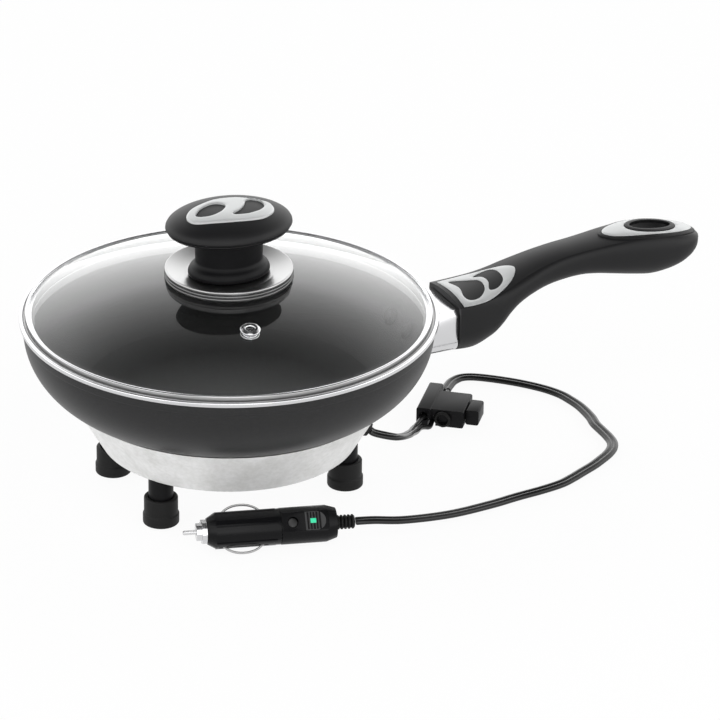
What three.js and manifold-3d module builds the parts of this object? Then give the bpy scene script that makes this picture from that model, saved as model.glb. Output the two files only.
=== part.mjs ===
// Twelve volt travel skillet: a non-stick pan with a glass lid and a long handle, on a cast heater base
// with four legs, a flat twin lead, an inline fuse holder and a socket plug.
// Millimetres, +Z up. The handle points along +X, and the feet stand on z = 0.
import * as THREE from 'three';
import { mergeVertices } from 'three/addons/utils/BufferGeometryUtils.js';
import Module from 'manifold-3d';

const wasm = await Module();
wasm.setup();

// Clearances and finish of the facets
const seatGap = 0.3;
const slideGap = 0.35;
const cutOverrun = 4;
const weldDistance = 0.0001;
const ringSteps = 48;
const discSteps = 36;
const knobSteps = 28;
const roundSteps = 12;
const ovalSteps = 28;
const turn = Math.PI * 2;
const quarter = Math.PI / 2;

// Pan
const bowlRadius = 110;
const bowlCurveWidth = 50;
const bowlCurveHeight = 42.5;
const bowlTop = 91.3;
const bowlWall = 2.6;
const panFloorRise = 1.2;
const panFloorUnder = bowlTop - bowlCurveHeight + panFloorRise;
const panFloorThickness = 4;
const panLipProud = 0.6;
const panLipRadius = bowlRadius + panLipProud;
const panLipHeight = 4.9;
const panLipBevel = 0.5;
const panLipWidth = 4.2;
const panLipInnerRadius = panLipRadius - panLipWidth;
const bowlSteps = 7;

// Lid
const bandOverhang = 1.6;
const bandRadius = panLipRadius + bandOverhang;
const bandSheet = 0.5;
const beadHeight = 2.5;
const beadWidth = 2.3;
const beadBevel = 0.5;
const bandGroove = 1.1;
const bandOverGlass = 1.4;
const bandSkirtGap = 1.2;
const bandSkirtRadius = panLipInnerRadius - bandSkirtGap;
const bandSkirtDrop = 3.6;
const glassThickness = 3.2;
const glassRise = 20.3;
const glassFlat = 1.6;
const glassHoleRadius = 4.6;
const glassSteps = 5;
const ventRadius = 58.4;
const ventAngle = -103 * Math.PI / 180;
const ventHoleRadius = 4.1;
const ventBoreRadius = 2.3;
const ventFlangeRadius = 5.4;
const ventFlangeThickness = 1.5;
const ventClinchRadius = 5;
const ventClinchThickness = 0.8;

// Knob
const gasketRadius = 12;
const gasketThickness = 0.4;
const discRadius = 34.4;
const discSheet = 0.8;
const discRimHeight = 5.8;
const discRimWidth = 1.2;
const discDishWidth = 9.6;
const discDishDepth = 3.5;
const knobOvalShare = 0.82;
const knobFootRadius = 22.5;
const knobStemRadius = 18.4;
const knobStemHeight = 23.7;
const knobFootHeight = 6.3;
const knobCapRadius = 34.9;
const knobCapUnder = 3.2;
const knobCapDome = 10.3;
const knobTrimLength = 24;
const knobTrimWidth = 14.4;
const knobTrimX = -1.05;
const knobTrimY = -3.3;
const knobTrimProud = 1.2;
const knobTrimDepth = 0.5;
const knobScrewRadius = 2.4;
const knobScrewHeadRadius = 4.6;
const knobScrewHeadHeight = 2.4;
const knobScrewReach = 15;
const washerRadius = 8.5;
const washerThickness = 1;

// Base
const baseBottom = 26.7;
const baseOverFloor = 4.4;
const baseHeight = panFloorUnder + baseOverFloor - baseBottom;
const baseBottomInset = 40.4;
const baseBottomRadius = bowlRadius - baseBottomInset;
const baseTopInset = 24.3;
const baseTopRadius = bowlRadius - baseTopInset;
const baseWall = 2.4;
const ledgeInset = 46;
const ledgeInnerRadius = bowlRadius - ledgeInset;
const ledgeThickness = 2.8;
const ledgeCut = 14;
const wallSeatGap = 0.5;
const coverThickness = 1.2;
const coverInset = 0.4;
const coverVentRadius = 2.2;
const coverVentRing = 34;
const coverVentCount = 8;

// Heater under the pan
const heaterTubeRadius = 3;
const heaterRingInset = 68;
const heaterRingRadius = bowlRadius - heaterRingInset;
const heaterTailSpread = 5;
const heaterOpening = 17 * Math.PI / 180;
const heaterSteps = 24;
const clampInset = 62;
const clampRadius = bowlRadius - clampInset;
const clampThickness = 1.2;
const padInset = 59;
const padRadius = bowlRadius - padInset;
const padThickness = 3;
const studRadius = 3;
const nutAcross = 5.6;
const nutHeight = 4;
const studTail = 4.9;
const blockLength = 9;
const blockWidth = 16;
const blockHeight = 12.6;
const cutoutRadius = 4.8;
const cutoutFootHeight = 1.6;
const cutoutNeckRadius = 2.6;
const cutoutBodyHeight = 6;
const cutoutInset = 53;
const cutoutPlace = bowlRadius - cutoutInset;

// Legs and feet
const legInset = 46.7;
const legRing = bowlRadius - legInset;
const legTurn = 31.2 * Math.PI / 180;
const legRadius = 6.7;
const legScrewRadius = 2;
const legScrewHeadRadius = 3.5;
const legScrewHeadHeight = 2;
const legScrewReach = 12;
const footHeight = 15.6;
const footRadius = 9.1;
const footFlangeRadius = 9.75;
const footFlangeHeight = 5.6;
const footFloor = 2.6;
const footBevel = 0.6;

// Handle
const ferruleReach = 18.7;
const ferruleEnd = bowlRadius + ferruleReach;
const ferruleWidth = 35;
const ferruleHeight = 26;
const ferruleBottom = 56.9;
const ferruleWall = 1.6;
const ferruleBevel = 3.4;
const ferruleRound = 8;
const bracketWidth = 30.4;
const bracketHeight = 21;
const bracketReach = 21.5;
const bracketStart = bowlRadius - bracketReach;
const tongueWidth = 24;
const tongueHeight = 14;
const tongueLength = 22;
const rivetHeight = 72.2;
const rivetSpread = 10;
const rivetRadius = 2.4;
const rivetHeadRadius = 5;
const rivetHeadHeight = 1.8;
const rivetSeatGap = 0.65;
const rivetReach = 9;
const gripLength = 154.3;
const gripRootBottom = 54.7;
const gripRise = 49.7;
const gripHalfWidth = 20;
const gripCrown = 2.4;
const gripPadRaise = 1;
const frontTrimStart = 0.8;
const frontTrimShift = -1.4;
const frontTrimLength = 40.3;
const frontTrimHalfWidth = 17.4;
const endTrimPlaceShare = 0.8;
const endTrimHalfLength = 27.4;
const endTrimHalfWidth = 11;
const endPadMargin = 2.4;
const hangPlaceShare = 0.812;
const hangHalfLength = 12.4;
const hangHalfWidth = 6.2;
const hangRim = 2.8;
const hangRimProud = 0.7;
const frontTrimFloor = 24;
const endTrimFloor = 37;
const trimDepth = 1.1;
const trimProud = 0.15;
const handleScrewPlace = 12;
const handleScrewRadius = 2;
const handleScrewHeadRadius = 4;
const handleScrewHeadHeight = 2.6;
const handleScrewDepth = 3.2;

// Cord
const cordWidth = 6.2;
const cordThickness = 3.2;
const wireRadius = 1.4;
const grommetAngle = -27.5 * Math.PI / 180;
const grommetHeight = 32.7;
const grommetBodyRadius = 3.6;
const grommetFlangeRadius = 4.5;
const grommetFlange = 1.3;
const grommetNose = 1.6;
const grommetNoseRadius = 3.8;
const grommetInner = 1.4;
const innerWireRadius = 1.3;
const wireHeight = 35.4;

// Fuse holder on the cord, lying beside the pan
const holderX = 10.8;
const holderY = 16.3;
const holderAngle = -38.5 * Math.PI / 180;
const holderLift = 0.3;
const holderBlockWidth = 8.1;
const holderBlockLength = 33.2;
const holderBlockHeight = 10.7;
const holderBodyLength = 18.2;
const holderBodyWidth = 24.2;
const holderBodyInset = 1.5;
const holderBodyHeight = 10;
const holderRound = 1.2;
const holderMouthRadius = 2.7;
const holderMouthDepth = 2.5;
const holderBoreRadius = 1.75;
const holderBoreDepth = 8;
const holderBoreHeight = 6;
const holderGroovePlace = 8.5;
const holderGrooveWidth = 4;
const holderGrooveHeight = 4;
const fuseWidth = 10.4;
const fuseThickness = 3.6;
const fuseLength = 8.8;
const fuseShown = 2.6;
const bladeWidth = 2.8;
const bladeThickness = 0.8;
const bladeLength = 4.4;
const bladeSpread = 3.9;
const fuseMiddle = 12.8;
const fuseHeight = 5.4;
const capLength = 7.4;
const capWidth = 14.3;
const capHeight = 8.8;
const capWall = 1.4;
const tetherRadius = 3.9;
const tetherTube = 1;
const tetherPlace = 14.8;
const tetherHeight = 5.2;

// Socket plug, measured along its own axis from the tip
const plugX = -167.2;
const plugY = -68.7;
const plugHeight = 10.7;
const plugHeading = -15.4 * Math.PI / 180;
const plugRoll = 50 * Math.PI / 180;
const tipRadius = 1.35;
const tipShown = 7.1;
const tipFlangeRadius = 2.6;
const tipFlange = 1.6;
const tipTravel = 3;
const noseSmallRadius = 4.8;
const noseRadius = 6.6;
const noseStep = 2.7;
const noseLength = 5.3;
const barrelRadius = 9.6;
const barrelNoseRadius = 7;
const barrelTaper = 4.3;
const barrelLength = 38.7;
const barrelBore = 3.4;
const barrelRibHeight = 0.45;
const barrelRibWidth = 1.2;
const barrelRibCount = 6;
const contactWireRadius = 0.65;
const contactPlace = 31.5;
const contactHalfLength = 11.3;
const contactInner = 8;
const contactReach = 12.95;
const contactSlotMargin = 1.3;
const glassFuseRadius = 3;
const glassFuseLength = 29.5;
const shellLength = 29.8;
const shellRadius = 9.8;
const shellEndRadius = 8;
const shellTaper = 5.6;
const panelHeight = 8.2;
const panelLength = 25;
const panelScrewPlace = 6.1;
const panelScrewRadius = 1.2;
const panelScrewHeadRadius = 2.5;
const panelScrewHeadHeight = 1.5;
const panelRecessRadius = 2.9;
const panelRecessDepth = 3;
const panelScrewReach = 5;
const lampLength = 3;
const lampWidth = 2.5;
const lampHeight = 1.3;
const lampPlace = 16.8;
const ribPlace = 13.6;
const ribPitch = 1.6;
const ribWidth = 0.8;
const ribProud = 0.7;
const ribReach = 4.6;
const ribCount = 5;
const reliefRadius = 3;
const reliefRingRadius = 3.95;
const reliefRings = 5;
const reliefPitch = 1.95;
const reliefSeat = 6;

const finishes = {
  darkCoating: { color: 0x3c3c3e, roughness: 0.42, metalness: 0.3 },
  brightSteel: { color: 0xd8d8da, roughness: 0.18, metalness: 1 },
  castAluminium: { color: 0xc9cacb, roughness: 0.45, metalness: 0.9 },
  glass: { color: 0xe8eeee, roughness: 0.05, metalness: 0 },
  phenolic: { color: 0x1d1d1f, roughness: 0.5, metalness: 0 },
  softTouch: { color: 0x29292b, roughness: 0.7, metalness: 0 },
  silverTrim: { color: 0xc4c5c6, roughness: 0.4, metalness: 0.6 },
  rubber: { color: 0x131313, roughness: 0.75, metalness: 0 },
  cordJacket: { color: 0x151515, roughness: 0.45, metalness: 0 },
  plugPlastic: { color: 0x161617, roughness: 0.35, metalness: 0 },
  greenLamp: { color: 0x2fb98c, roughness: 0.3, metalness: 0 },
  zincSteel: { color: 0xa9abad, roughness: 0.35, metalness: 0.9 },
  ceramicFibre: { color: 0xe4e0d4, roughness: 0.95, metalness: 0 },
  heaterSheath: { color: 0x6d6a66, roughness: 0.5, metalness: 0.8 },
  fusePlastic: { color: 0xb56a26, roughness: 0.3, metalness: 0 },
};

// Solids
function solid(geometry) {
  const bare = new THREE.BufferGeometry();
  bare.setAttribute('position', geometry.getAttribute('position').clone());
  if (geometry.index) {
    bare.setIndex(geometry.index.clone());
  }
  const joined = mergeVertices(bare, weldDistance);
  const places = joined.getAttribute('position').array;
  const index = joined.index.array;
  const corners = [];
  let volume = 0;
  for (let i = 0; i < index.length; i += 3) {
    const [a, b, c] = [index[i], index[i + 1], index[i + 2]];
    if (a !== b && b !== c && c !== a) {
      corners.push(a, b, c);
      volume += signedVolume(places, a, b, c);
    }
  }
  if (volume < 0) {
    corners.reverse();
  }
  const mesh = new wasm.Mesh({
    numProp: 3,
    vertProperties: new Float32Array(places),
    triVerts: new Uint32Array(corners),
  });
  return new wasm.Manifold(mesh);
}

function signedVolume(places, a, b, c) {
  const [p, q, r] = [a, b, c].map((i) => new THREE.Vector3().fromArray(places, i * 3));
  return p.dot(q.cross(r));
}

function piece(parent, name, body, finish) {
  const out = body.getMesh();
  const geometry = new THREE.BufferGeometry();
  geometry.setAttribute('position', new THREE.BufferAttribute(new Float32Array(out.vertProperties), 3));
  geometry.setIndex(new THREE.BufferAttribute(new Uint32Array(out.triVerts), 1));
  geometry.computeVertexNormals();
  const mesh = new THREE.Mesh(geometry, new THREE.MeshStandardMaterial(finishes[finish]));
  mesh.name = name;
  parent.add(mesh);
  return mesh;
}

function joinAll(bodies) {
  return bodies.reduce((whole, next) => whole.add(next));
}

function moved(geometry, x, y, z) {
  geometry.translate(x, y, z);
  return geometry;
}

// Turns a form made along Z so that it runs along X, with its own X along Y and its own Y along Z
function alongX(geometry) {
  const basis = new THREE.Matrix4().makeBasis(
    new THREE.Vector3(0, 1, 0),
    new THREE.Vector3(0, 0, 1),
    new THREE.Vector3(1, 0, 0),
  );
  geometry.applyMatrix4(basis);
  return geometry;
}

function alongY(geometry) {
  geometry.rotateX(-quarter);
  return geometry;
}

function revolve(outline, steps) {
  const points = outline.map(([radius, height]) => new THREE.Vector2(radius, height));
  const geometry = new THREE.LatheGeometry(points, steps);
  geometry.rotateX(quarter);
  return geometry;
}

function closed(outline) {
  return [...outline, outline[0]];
}

function rod(radius, bottom, height, steps = roundSteps) {
  const geometry = new THREE.CylinderGeometry(radius, radius, height, steps);
  geometry.rotateX(quarter);
  geometry.translate(0, 0, bottom + height / 2);
  return geometry;
}

function block(x0, x1, y0, y1, z0, z1) {
  const geometry = new THREE.BoxGeometry(x1 - x0, y1 - y0, z1 - z0);
  geometry.translate((x0 + x1) / 2, (y0 + y1) / 2, (z0 + z1) / 2);
  return geometry;
}

function prism(shape, bottom, height, steps = roundSteps) {
  const geometry = new THREE.ExtrudeGeometry(shape, { depth: height, bevelEnabled: false, curveSegments: steps });
  geometry.translate(0, 0, bottom);
  return geometry;
}

function oval(halfLength, halfWidth, x = 0, y = 0) {
  const curve = new THREE.EllipseCurve(x, y, halfLength, halfWidth, 0, turn, false, 0);
  return new THREE.Shape(curve.getPoints(ovalSteps).slice(0, -1));
}

// First loop is the plate, and the later loops are its windows
function plateWithWindows(loops, bottom, height) {
  const [plate, ...windows] = loops.map((loop) => solid(prism(loop, bottom, height)));
  return windows.reduce((whole, next) => whole.subtract(next), plate);
}

function blobOutline(points, steps) {
  const curve = new THREE.CatmullRomCurve3(points.map(([x, y]) => new THREE.Vector3(x, y, 0)), true);
  return curve.getPoints(steps).slice(0, -1).map((p) => new THREE.Vector2(p.x, p.y));
}

// Moves every corner of a loop inwards by the same distance
function insetLoop(loop, distance) {
  const way = Math.sign(THREE.ShapeUtils.area(loop));
  return new THREE.Shape(loop.map((point, i) => {
    const before = loop[(i + loop.length - 1) % loop.length];
    const after = loop[(i + 1) % loop.length];
    const next = after.clone().sub(point).normalize();
    const along = point.clone().sub(before).normalize().add(next).normalize();
    const inward = new THREE.Vector2(-along.y, along.x).multiplyScalar(way);
    return inward.multiplyScalar(distance / along.dot(next)).add(point);
  }));
}

function sweep(points, section, steps) {
  const path = new THREE.CatmullRomCurve3(points.map((p) => new THREE.Vector3(...p)), false, 'centripetal');
  return new THREE.ExtrudeGeometry(section, { steps, bevelEnabled: false, extrudePath: path });
}

function polygonSection(halfX, halfY, sides, squareness) {
  const points = [];
  for (let i = 0; i < sides; i += 1) {
    const angle = ((i + 1 / 2) / sides) * turn;
    const [c, s] = [Math.cos(angle), Math.sin(angle)];
    points.push(new THREE.Vector2(
      halfX * Math.sign(c) * Math.abs(c) ** squareness,
      halfY * Math.sign(s) * Math.abs(s) ** squareness,
    ));
  }
  return new THREE.Shape(points);
}

// Curve of the bowl, from a height up to the lip, offset outwards by grow
function bowlCurve(grow, floor) {
  const width = bowlCurveWidth + grow;
  const height = bowlCurveHeight + grow;
  const start = Math.asin((bowlTop - floor) / height);
  const points = [];
  for (let i = 0; i <= bowlSteps; i += 1) {
    const angle = start * (1 - i / bowlSteps);
    points.push([
      bowlRadius - bowlCurveWidth + width * Math.cos(angle),
      bowlTop - height * Math.sin(angle),
    ]);
  }
  return points;
}

const panInnerFloor = panFloorUnder + panFloorThickness;
const panTop = bowlTop + panLipHeight;

// Space that the pan fills, with the clearance that its neighbours keep
function panRoom() {
  const floor = panFloorUnder - seatGap;
  const room = [
    [0, floor],
    ...bowlCurve(seatGap, floor),
    [panLipRadius + seatGap, bowlTop - seatGap],
    [panLipRadius + seatGap, panTop],
    [0, panTop],
  ];
  return solid(revolve(room, ringSteps));
}

// Rivets stand square to the sloping wall
const rivetInner = bowlCurveHeight - bowlWall;
const rivetCurve = Math.asin((bowlTop - rivetHeight) / rivetInner);
const rivetWall = bowlRadius - bowlCurveWidth + (bowlCurveWidth - bowlWall) * Math.cos(rivetCurve);
const rivetTilt = Math.atan2(Math.sin(rivetCurve) / rivetInner, Math.cos(rivetCurve) / (bowlCurveWidth - bowlWall));
const rivetTurn = Math.asin(rivetSpread / rivetWall);

function onRivet(geometry, side) {
  alongX(geometry);
  geometry.rotateY(rivetTilt);
  geometry.translate(rivetWall, 0, rivetHeight);
  geometry.rotateZ(side * rivetTurn);
  return geometry;
}

function rivetHoles() {
  const reach = rivetReach + slideGap;
  return joinAll([-1, 1].map((side) => (
    solid(onRivet(rod(rivetRadius + slideGap, -cutOverrun, cutOverrun + reach), side))
  )));
}

function makePan(parent) {
  const outline = [
    [0, panFloorUnder],
    ...bowlCurve(0, panFloorUnder),
    [panLipRadius, bowlTop],
    [panLipRadius, panTop - panLipBevel],
    [panLipRadius - panLipBevel, panTop],
    [panLipInnerRadius, panTop],
    ...bowlCurve(-bowlWall, panInnerFloor).reverse(),
    [0, panInnerFloor],
  ];
  piece(parent, 'pan', solid(revolve(outline, ringSteps)).subtract(rivetHoles()), 'darkCoating');
  const rivet = [
    [0, -rivetSeatGap - rivetHeadHeight],
    [rivetHeadRadius / 2, -rivetSeatGap - rivetHeadHeight],
    [rivetHeadRadius, -rivetSeatGap - rivetHeadHeight / 4],
    [rivetHeadRadius, -rivetSeatGap],
    [rivetRadius, -rivetSeatGap],
    [rivetRadius, rivetReach],
    [0, rivetReach],
  ];
  for (const [name, side] of [['pan_rivet_1', -1], ['pan_rivet_2', 1]]) {
    piece(parent, name, solid(onRivet(revolve(rivet, roundSteps), side)), 'castAluminium');
  }
}

// Lid: the glass sits in a rolled steel band that rests on the lip of the pan
const bandBottom = panTop + seatGap;
const glassUnder = bandBottom + bandSheet + seatGap;
const beadInner = bandRadius - beadWidth;
const channelRadius = beadInner - bandGroove;
const glassRadius = channelRadius - bandSheet - seatGap;
const domeRadius = glassRadius - glassFlat;
const domeSphere = (domeRadius ** 2 + glassRise ** 2) / (2 * glassRise);
const glassTop = glassUnder + glassThickness;
const domeTop = glassTop + glassRise;

function domeHeight(radius, top) {
  return top - domeSphere + Math.sqrt(domeSphere ** 2 - radius ** 2);
}

function domeCurve(top) {
  const points = [];
  for (let i = 0; i <= glassSteps; i += 1) {
    const radius = glassHoleRadius + (domeRadius - glassHoleRadius) * (i / glassSteps);
    points.push([radius, domeHeight(radius, top)]);
  }
  return points;
}

const ventTilt = Math.asin(ventRadius / domeSphere);

function onVent(geometry) {
  geometry.rotateY(ventTilt);
  geometry.translate(ventRadius, 0, domeHeight(ventRadius, domeTop));
  geometry.rotateZ(ventAngle);
  return geometry;
}

function makeLid(parent) {
  const glass = [
    ...domeCurve(domeTop),
    [glassRadius, glassTop],
    [glassRadius, glassUnder],
    ...domeCurve(domeTop - glassThickness).reverse(),
  ];
  const hole = solid(onVent(rod(ventHoleRadius, -glassThickness * 2, glassThickness * 3)));
  piece(parent, 'lid_glass', solid(revolve(closed(glass), ringSteps)).subtract(hole), 'glass');
  const overGlass = glassTop + seatGap;
  const overBand = overGlass + bandSheet;
  const grooveFloor = bandBottom + bandSheet;
  const beadTop = bandBottom + beadHeight;
  const band = [
    [bandSkirtRadius, bandBottom - bandSkirtDrop],
    [bandSkirtRadius, bandBottom],
    [bandRadius, bandBottom],
    [bandRadius, beadTop - beadBevel],
    [bandRadius - beadBevel, beadTop],
    [beadInner + beadBevel, beadTop],
    [beadInner, beadTop - beadBevel],
    [beadInner, grooveFloor],
    [channelRadius, grooveFloor],
    [channelRadius, overBand - beadBevel],
    [channelRadius - beadBevel, overBand],
    [channelRadius - bandOverGlass, overBand],
    [channelRadius - bandOverGlass, overGlass],
    [channelRadius - bandSheet, overGlass],
    [channelRadius - bandSheet, grooveFloor],
    [bandSkirtRadius - bandSheet, grooveFloor],
    [bandSkirtRadius - bandSheet, bandBottom - bandSkirtDrop],
  ];
  piece(parent, 'lid_band', solid(revolve(closed(band), ringSteps)), 'brightSteel');
  const vent = [
    [ventBoreRadius, -glassThickness - ventClinchThickness - seatGap],
    [ventClinchRadius, -glassThickness - ventClinchThickness - seatGap],
    [ventClinchRadius, -glassThickness - seatGap],
    [ventHoleRadius - seatGap, -glassThickness - seatGap],
    [ventHoleRadius - seatGap, seatGap],
    [ventFlangeRadius, seatGap],
    [ventFlangeRadius, seatGap + ventFlangeThickness / 2],
    [(ventFlangeRadius + ventBoreRadius) / 2, seatGap + ventFlangeThickness],
    [ventBoreRadius, seatGap + ventFlangeThickness / 2],
  ];
  piece(parent, 'lid_vent', solid(onVent(revolve(closed(vent), roundSteps))), 'brightSteel');
}

// Knob: a gasket, a dished steel disc, an oval stem and an oval cap, all held by one screw through the glass
const gasketBottom = domeTop + seatGap / 4;
const discBottom = gasketBottom + gasketThickness + seatGap;
const discTop = discBottom + discSheet;
const stemBottom = discTop + seatGap;
const stemTop = stemBottom + knobStemHeight;
const capBottom = stemTop + seatGap;
const capWide = capBottom + knobCapUnder;
const capTop = capWide + knobCapDome;
const screwSeat = domeTop - glassThickness - seatGap;

const stemShares = [
  [0.94, 0], [1, 0.14], [1, 0.42], [0.95, 0.78], [0.86, 1],
];
const capShares = [
  [0.9, 0.14, 0], [0.96, 0.5, 0], [0.975, 0.72, 0], [0.955, 0.8, 0], [1, 1, 0], [0.99, 1, 0.18],
  [0.945, 1, 0.38], [0.83, 1, 0.62], [0.63, 1, 0.84], [0.34, 1, 0.97],
];

function capCurve(raise) {
  return capShares.map(([across, under, dome]) => [
    knobCapRadius * across,
    capBottom + knobCapUnder * under + (knobCapDome) * dome + raise,
  ]);
}

function ovalSolid(outline) {
  const geometry = revolve(outline, knobSteps);
  geometry.scale(1, knobOvalShare, 1);
  return solid(geometry);
}

const trimPlateShares = [
  [-0.97, 0.26], [-1, -0.09], [-0.94, -0.41], [-0.6, -0.67], [-0.16, -0.9], [0.32, -1], [0.66, -0.88],
  [0.94, -0.49], [0.99, 0.01], [0.9, 0.26], [0.54, 0.7], [0.29, 0.92], [-0.09, 1], [-0.44, 0.85],
  [-0.75, 0.64],
];
const trimWindowShares = [
  [
    [-0.81, 0.03], [-0.72, -0.17], [-0.49, -0.27], [-0.22, -0.11], [-0.03, 0.24], [-0.05, 0.51],
    [-0.23, 0.69], [-0.53, 0.53], [-0.72, 0.26],
  ],
  [
    [-0.03, -0.4], [0.01, -0.56], [0.3, -0.62], [0.62, -0.45], [0.8, -0.15], [0.83, 0.26], [0.7, 0.55],
    [0.52, 0.49], [0.38, 0.13], [0.19, -0.19],
  ],
];

function knobTrimLoop(shares, inset) {
  const points = shares.map(([x, y]) => [knobTrimX + x * knobTrimLength, knobTrimY + y * knobTrimWidth]);
  return insetLoop(blobOutline(points, knobSteps), inset);
}

function knobTrimOutline(grow) {
  return [knobTrimLoop(trimPlateShares, -grow), ...trimWindowShares.map((window) => knobTrimLoop(window, grow))];
}

function domeLayer(under, over) {
  const top = [...capCurve(over).slice(4), [0, capTop + over]];
  const bottom = [...capCurve(under).slice(4), [0, capTop + under]];
  return ovalSolid([...top.reverse(), ...bottom]);
}

function makeKnob(parent) {
  const gasket = [
    [glassHoleRadius, gasketBottom],
    [gasketRadius, gasketBottom],
    [gasketRadius, gasketBottom + gasketThickness],
    [glassHoleRadius, gasketBottom + gasketThickness],
  ];
  piece(parent, 'knob_gasket', solid(revolve(closed(gasket), knobSteps)), 'rubber');
  const rimTop = discTop + discDishDepth;
  const rimBottom = rimTop - discRimHeight;
  const dishRadius = discRadius - discRimWidth - discDishWidth;
  const bore = knobScrewRadius + slideGap;
  const disc = [
    [bore, discBottom],
    [dishRadius, discBottom],
    [discRadius - discRimWidth, rimTop - discRimWidth],
    [discRadius - discRimWidth, rimBottom],
    [discRadius, rimBottom],
    [discRadius, rimTop - discRimWidth / 2],
    [discRadius - discRimWidth / 2, rimTop],
    [dishRadius, discTop],
    [bore, discTop],
  ];
  piece(parent, 'knob_disc', solid(revolve(closed(disc), discSteps)), 'brightSteel');
  const foot = stemShares.map(([across, up]) => [knobFootRadius * across, stemBottom + knobFootHeight * up]);
  const stem = [
    [0, stemBottom],
    ...foot,
    [knobStemRadius, stemBottom + knobFootHeight * 1.25],
    [knobStemRadius * 1.03, stemTop],
    [0, stemTop],
  ];
  const screwTop = screwSeat + knobScrewReach + glassThickness;
  const screwHole = rod(bore, stemBottom - cutOverrun, screwTop + slideGap - stemBottom + cutOverrun);
  piece(parent, 'knob_stem', ovalSolid(stem).subtract(solid(screwHole)), 'phenolic');
  const cap = [[0, capBottom], [knobStemRadius, capBottom], ...capCurve(0), [0, capTop]];
  const room = domeLayer(-knobTrimDepth - seatGap, cutOverrun);
  const recess = plateWithWindows(knobTrimOutline(seatGap), capBottom, knobCapDome * 3).intersect(room);
  piece(parent, 'knob_cap', ovalSolid(cap).subtract(recess), 'softTouch');
  const plate = plateWithWindows(knobTrimOutline(0), capBottom, knobCapDome * 3);
  piece(parent, 'knob_trim', plate.intersect(domeLayer(-knobTrimDepth, knobTrimProud)), 'silverTrim');
  const washer = [
    [bore, screwSeat - washerThickness],
    [washerRadius, screwSeat - washerThickness],
    [washerRadius, screwSeat - seatGap],
    [bore, screwSeat - seatGap],
  ];
  piece(parent, 'knob_washer', solid(revolve(closed(washer), roundSteps)), 'zincSteel');
  const headTop = screwSeat - washerThickness - seatGap;
  const screw = [
    [0, headTop - knobScrewHeadHeight],
    [knobScrewHeadRadius * 0.7, headTop - knobScrewHeadHeight],
    [knobScrewHeadRadius, headTop - knobScrewHeadHeight / 2],
    [knobScrewHeadRadius, headTop],
    [knobScrewRadius, headTop],
    [knobScrewRadius, screwTop],
    [0, screwTop],
  ];
  piece(parent, 'knob_screw', solid(revolve(screw, roundSteps)), 'zincSteel');
}

// Base: a cast cone with a ledge inside, closed from below by a pressed cover
const baseTop = baseBottom + baseHeight;
const coverTop = baseBottom + coverThickness;
const ledgeBottom = coverTop + seatGap;
const ledgeTop = ledgeBottom + ledgeThickness;
const coverRadius = baseBottomRadius - baseWall - coverInset;
const legTop = baseBottom - seatGap;

function baseOuter(height) {
  return baseBottomRadius + (baseTopRadius - baseBottomRadius) * ((height - baseBottom) / baseHeight);
}

// The grommet stands square to the sloping wall, with zero on the wall's outer face
const baseSlope = Math.atan2(baseTopRadius - baseBottomRadius, baseHeight);
const wallDepth = baseWall * Math.cos(baseSlope);
const grommetFace = baseOuter(grommetHeight);
const grommetBack = -wallDepth - wallSeatGap - grommetInner;
const grommetFront = seatGap + grommetFlange + grommetNose;

function onGrommet(geometry) {
  alongX(geometry);
  geometry.rotateY(baseSlope);
  geometry.translate(grommetFace, 0, grommetHeight);
  geometry.rotateZ(grommetAngle);
  return geometry;
}

function besideGrommet(distance) {
  const point = new THREE.Vector3(grommetFace + distance * Math.cos(baseSlope), 0, 0);
  point.applyAxisAngle(new THREE.Vector3(0, 0, 1), grommetAngle);
  return [point.x, point.y, grommetHeight - distance * Math.sin(baseSlope)];
}

function legPlaces() {
  const [along, across] = [legRing * Math.cos(legTurn), legRing * Math.sin(legTurn)];
  return [[1, -1], [-1, -1], [-1, 1], [1, 1]].map(([x, y]) => [x * along, y * across]);
}

// Room that the heads of the leg screws keep in the ledge
function legScrewRoom() {
  const radius = legScrewHeadRadius + slideGap;
  const height = seatGap + legScrewHeadHeight + slideGap;
  return joinAll(legPlaces().map(([x, y]) => solid(moved(rod(radius, coverTop, height), x, y, 0))));
}

function makeBase(parent) {
  const housing = [
    [baseBottomRadius, baseBottom],
    [baseTopRadius, baseTop],
    [baseTopRadius - baseWall, baseTop],
    [baseOuter(ledgeTop) - baseWall, ledgeTop],
    [ledgeInnerRadius, ledgeTop],
    [ledgeInnerRadius, ledgeBottom],
    [baseOuter(ledgeBottom) - baseWall, ledgeBottom],
    [baseBottomRadius - baseWall, baseBottom],
  ];
  const cordHole = joinAll([
    solid(onGrommet(rod(grommetBodyRadius + seatGap, -wallDepth - cutOverrun, wallDepth + cutOverrun * 2))),
    solid(onGrommet(rod(grommetFlangeRadius + seatGap, -wallDepth - ledgeCut, ledgeCut))),
  ]);
  const body = solid(revolve(closed(housing), ringSteps)).subtract(panRoom()).subtract(cordHole).subtract(legScrewRoom());
  piece(parent, 'base_housing', body, 'castAluminium');

  const cover = solid(rod(coverRadius, baseBottom, coverThickness, ringSteps));
  const holes = [solid(rod(studRadius + slideGap, baseBottom - cutOverrun, cutOverrun * 3))];
  for (const [x, y] of legPlaces()) {
    holes.push(solid(moved(rod(legScrewRadius + slideGap, baseBottom - cutOverrun, cutOverrun * 3), x, y, 0)));
  }
  for (let i = 0; i < coverVentCount; i += 1) {
    const angle = ((i + 1 / 2) / coverVentCount) * turn;
    const place = [coverVentRing * Math.cos(angle), coverVentRing * Math.sin(angle), 0];
    holes.push(solid(moved(rod(coverVentRadius, baseBottom - cutOverrun, cutOverrun * 3, roundSteps / 2), ...place)));
  }
  piece(parent, 'base_cover', cover.subtract(joinAll(holes)), 'zincSteel');
}

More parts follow.
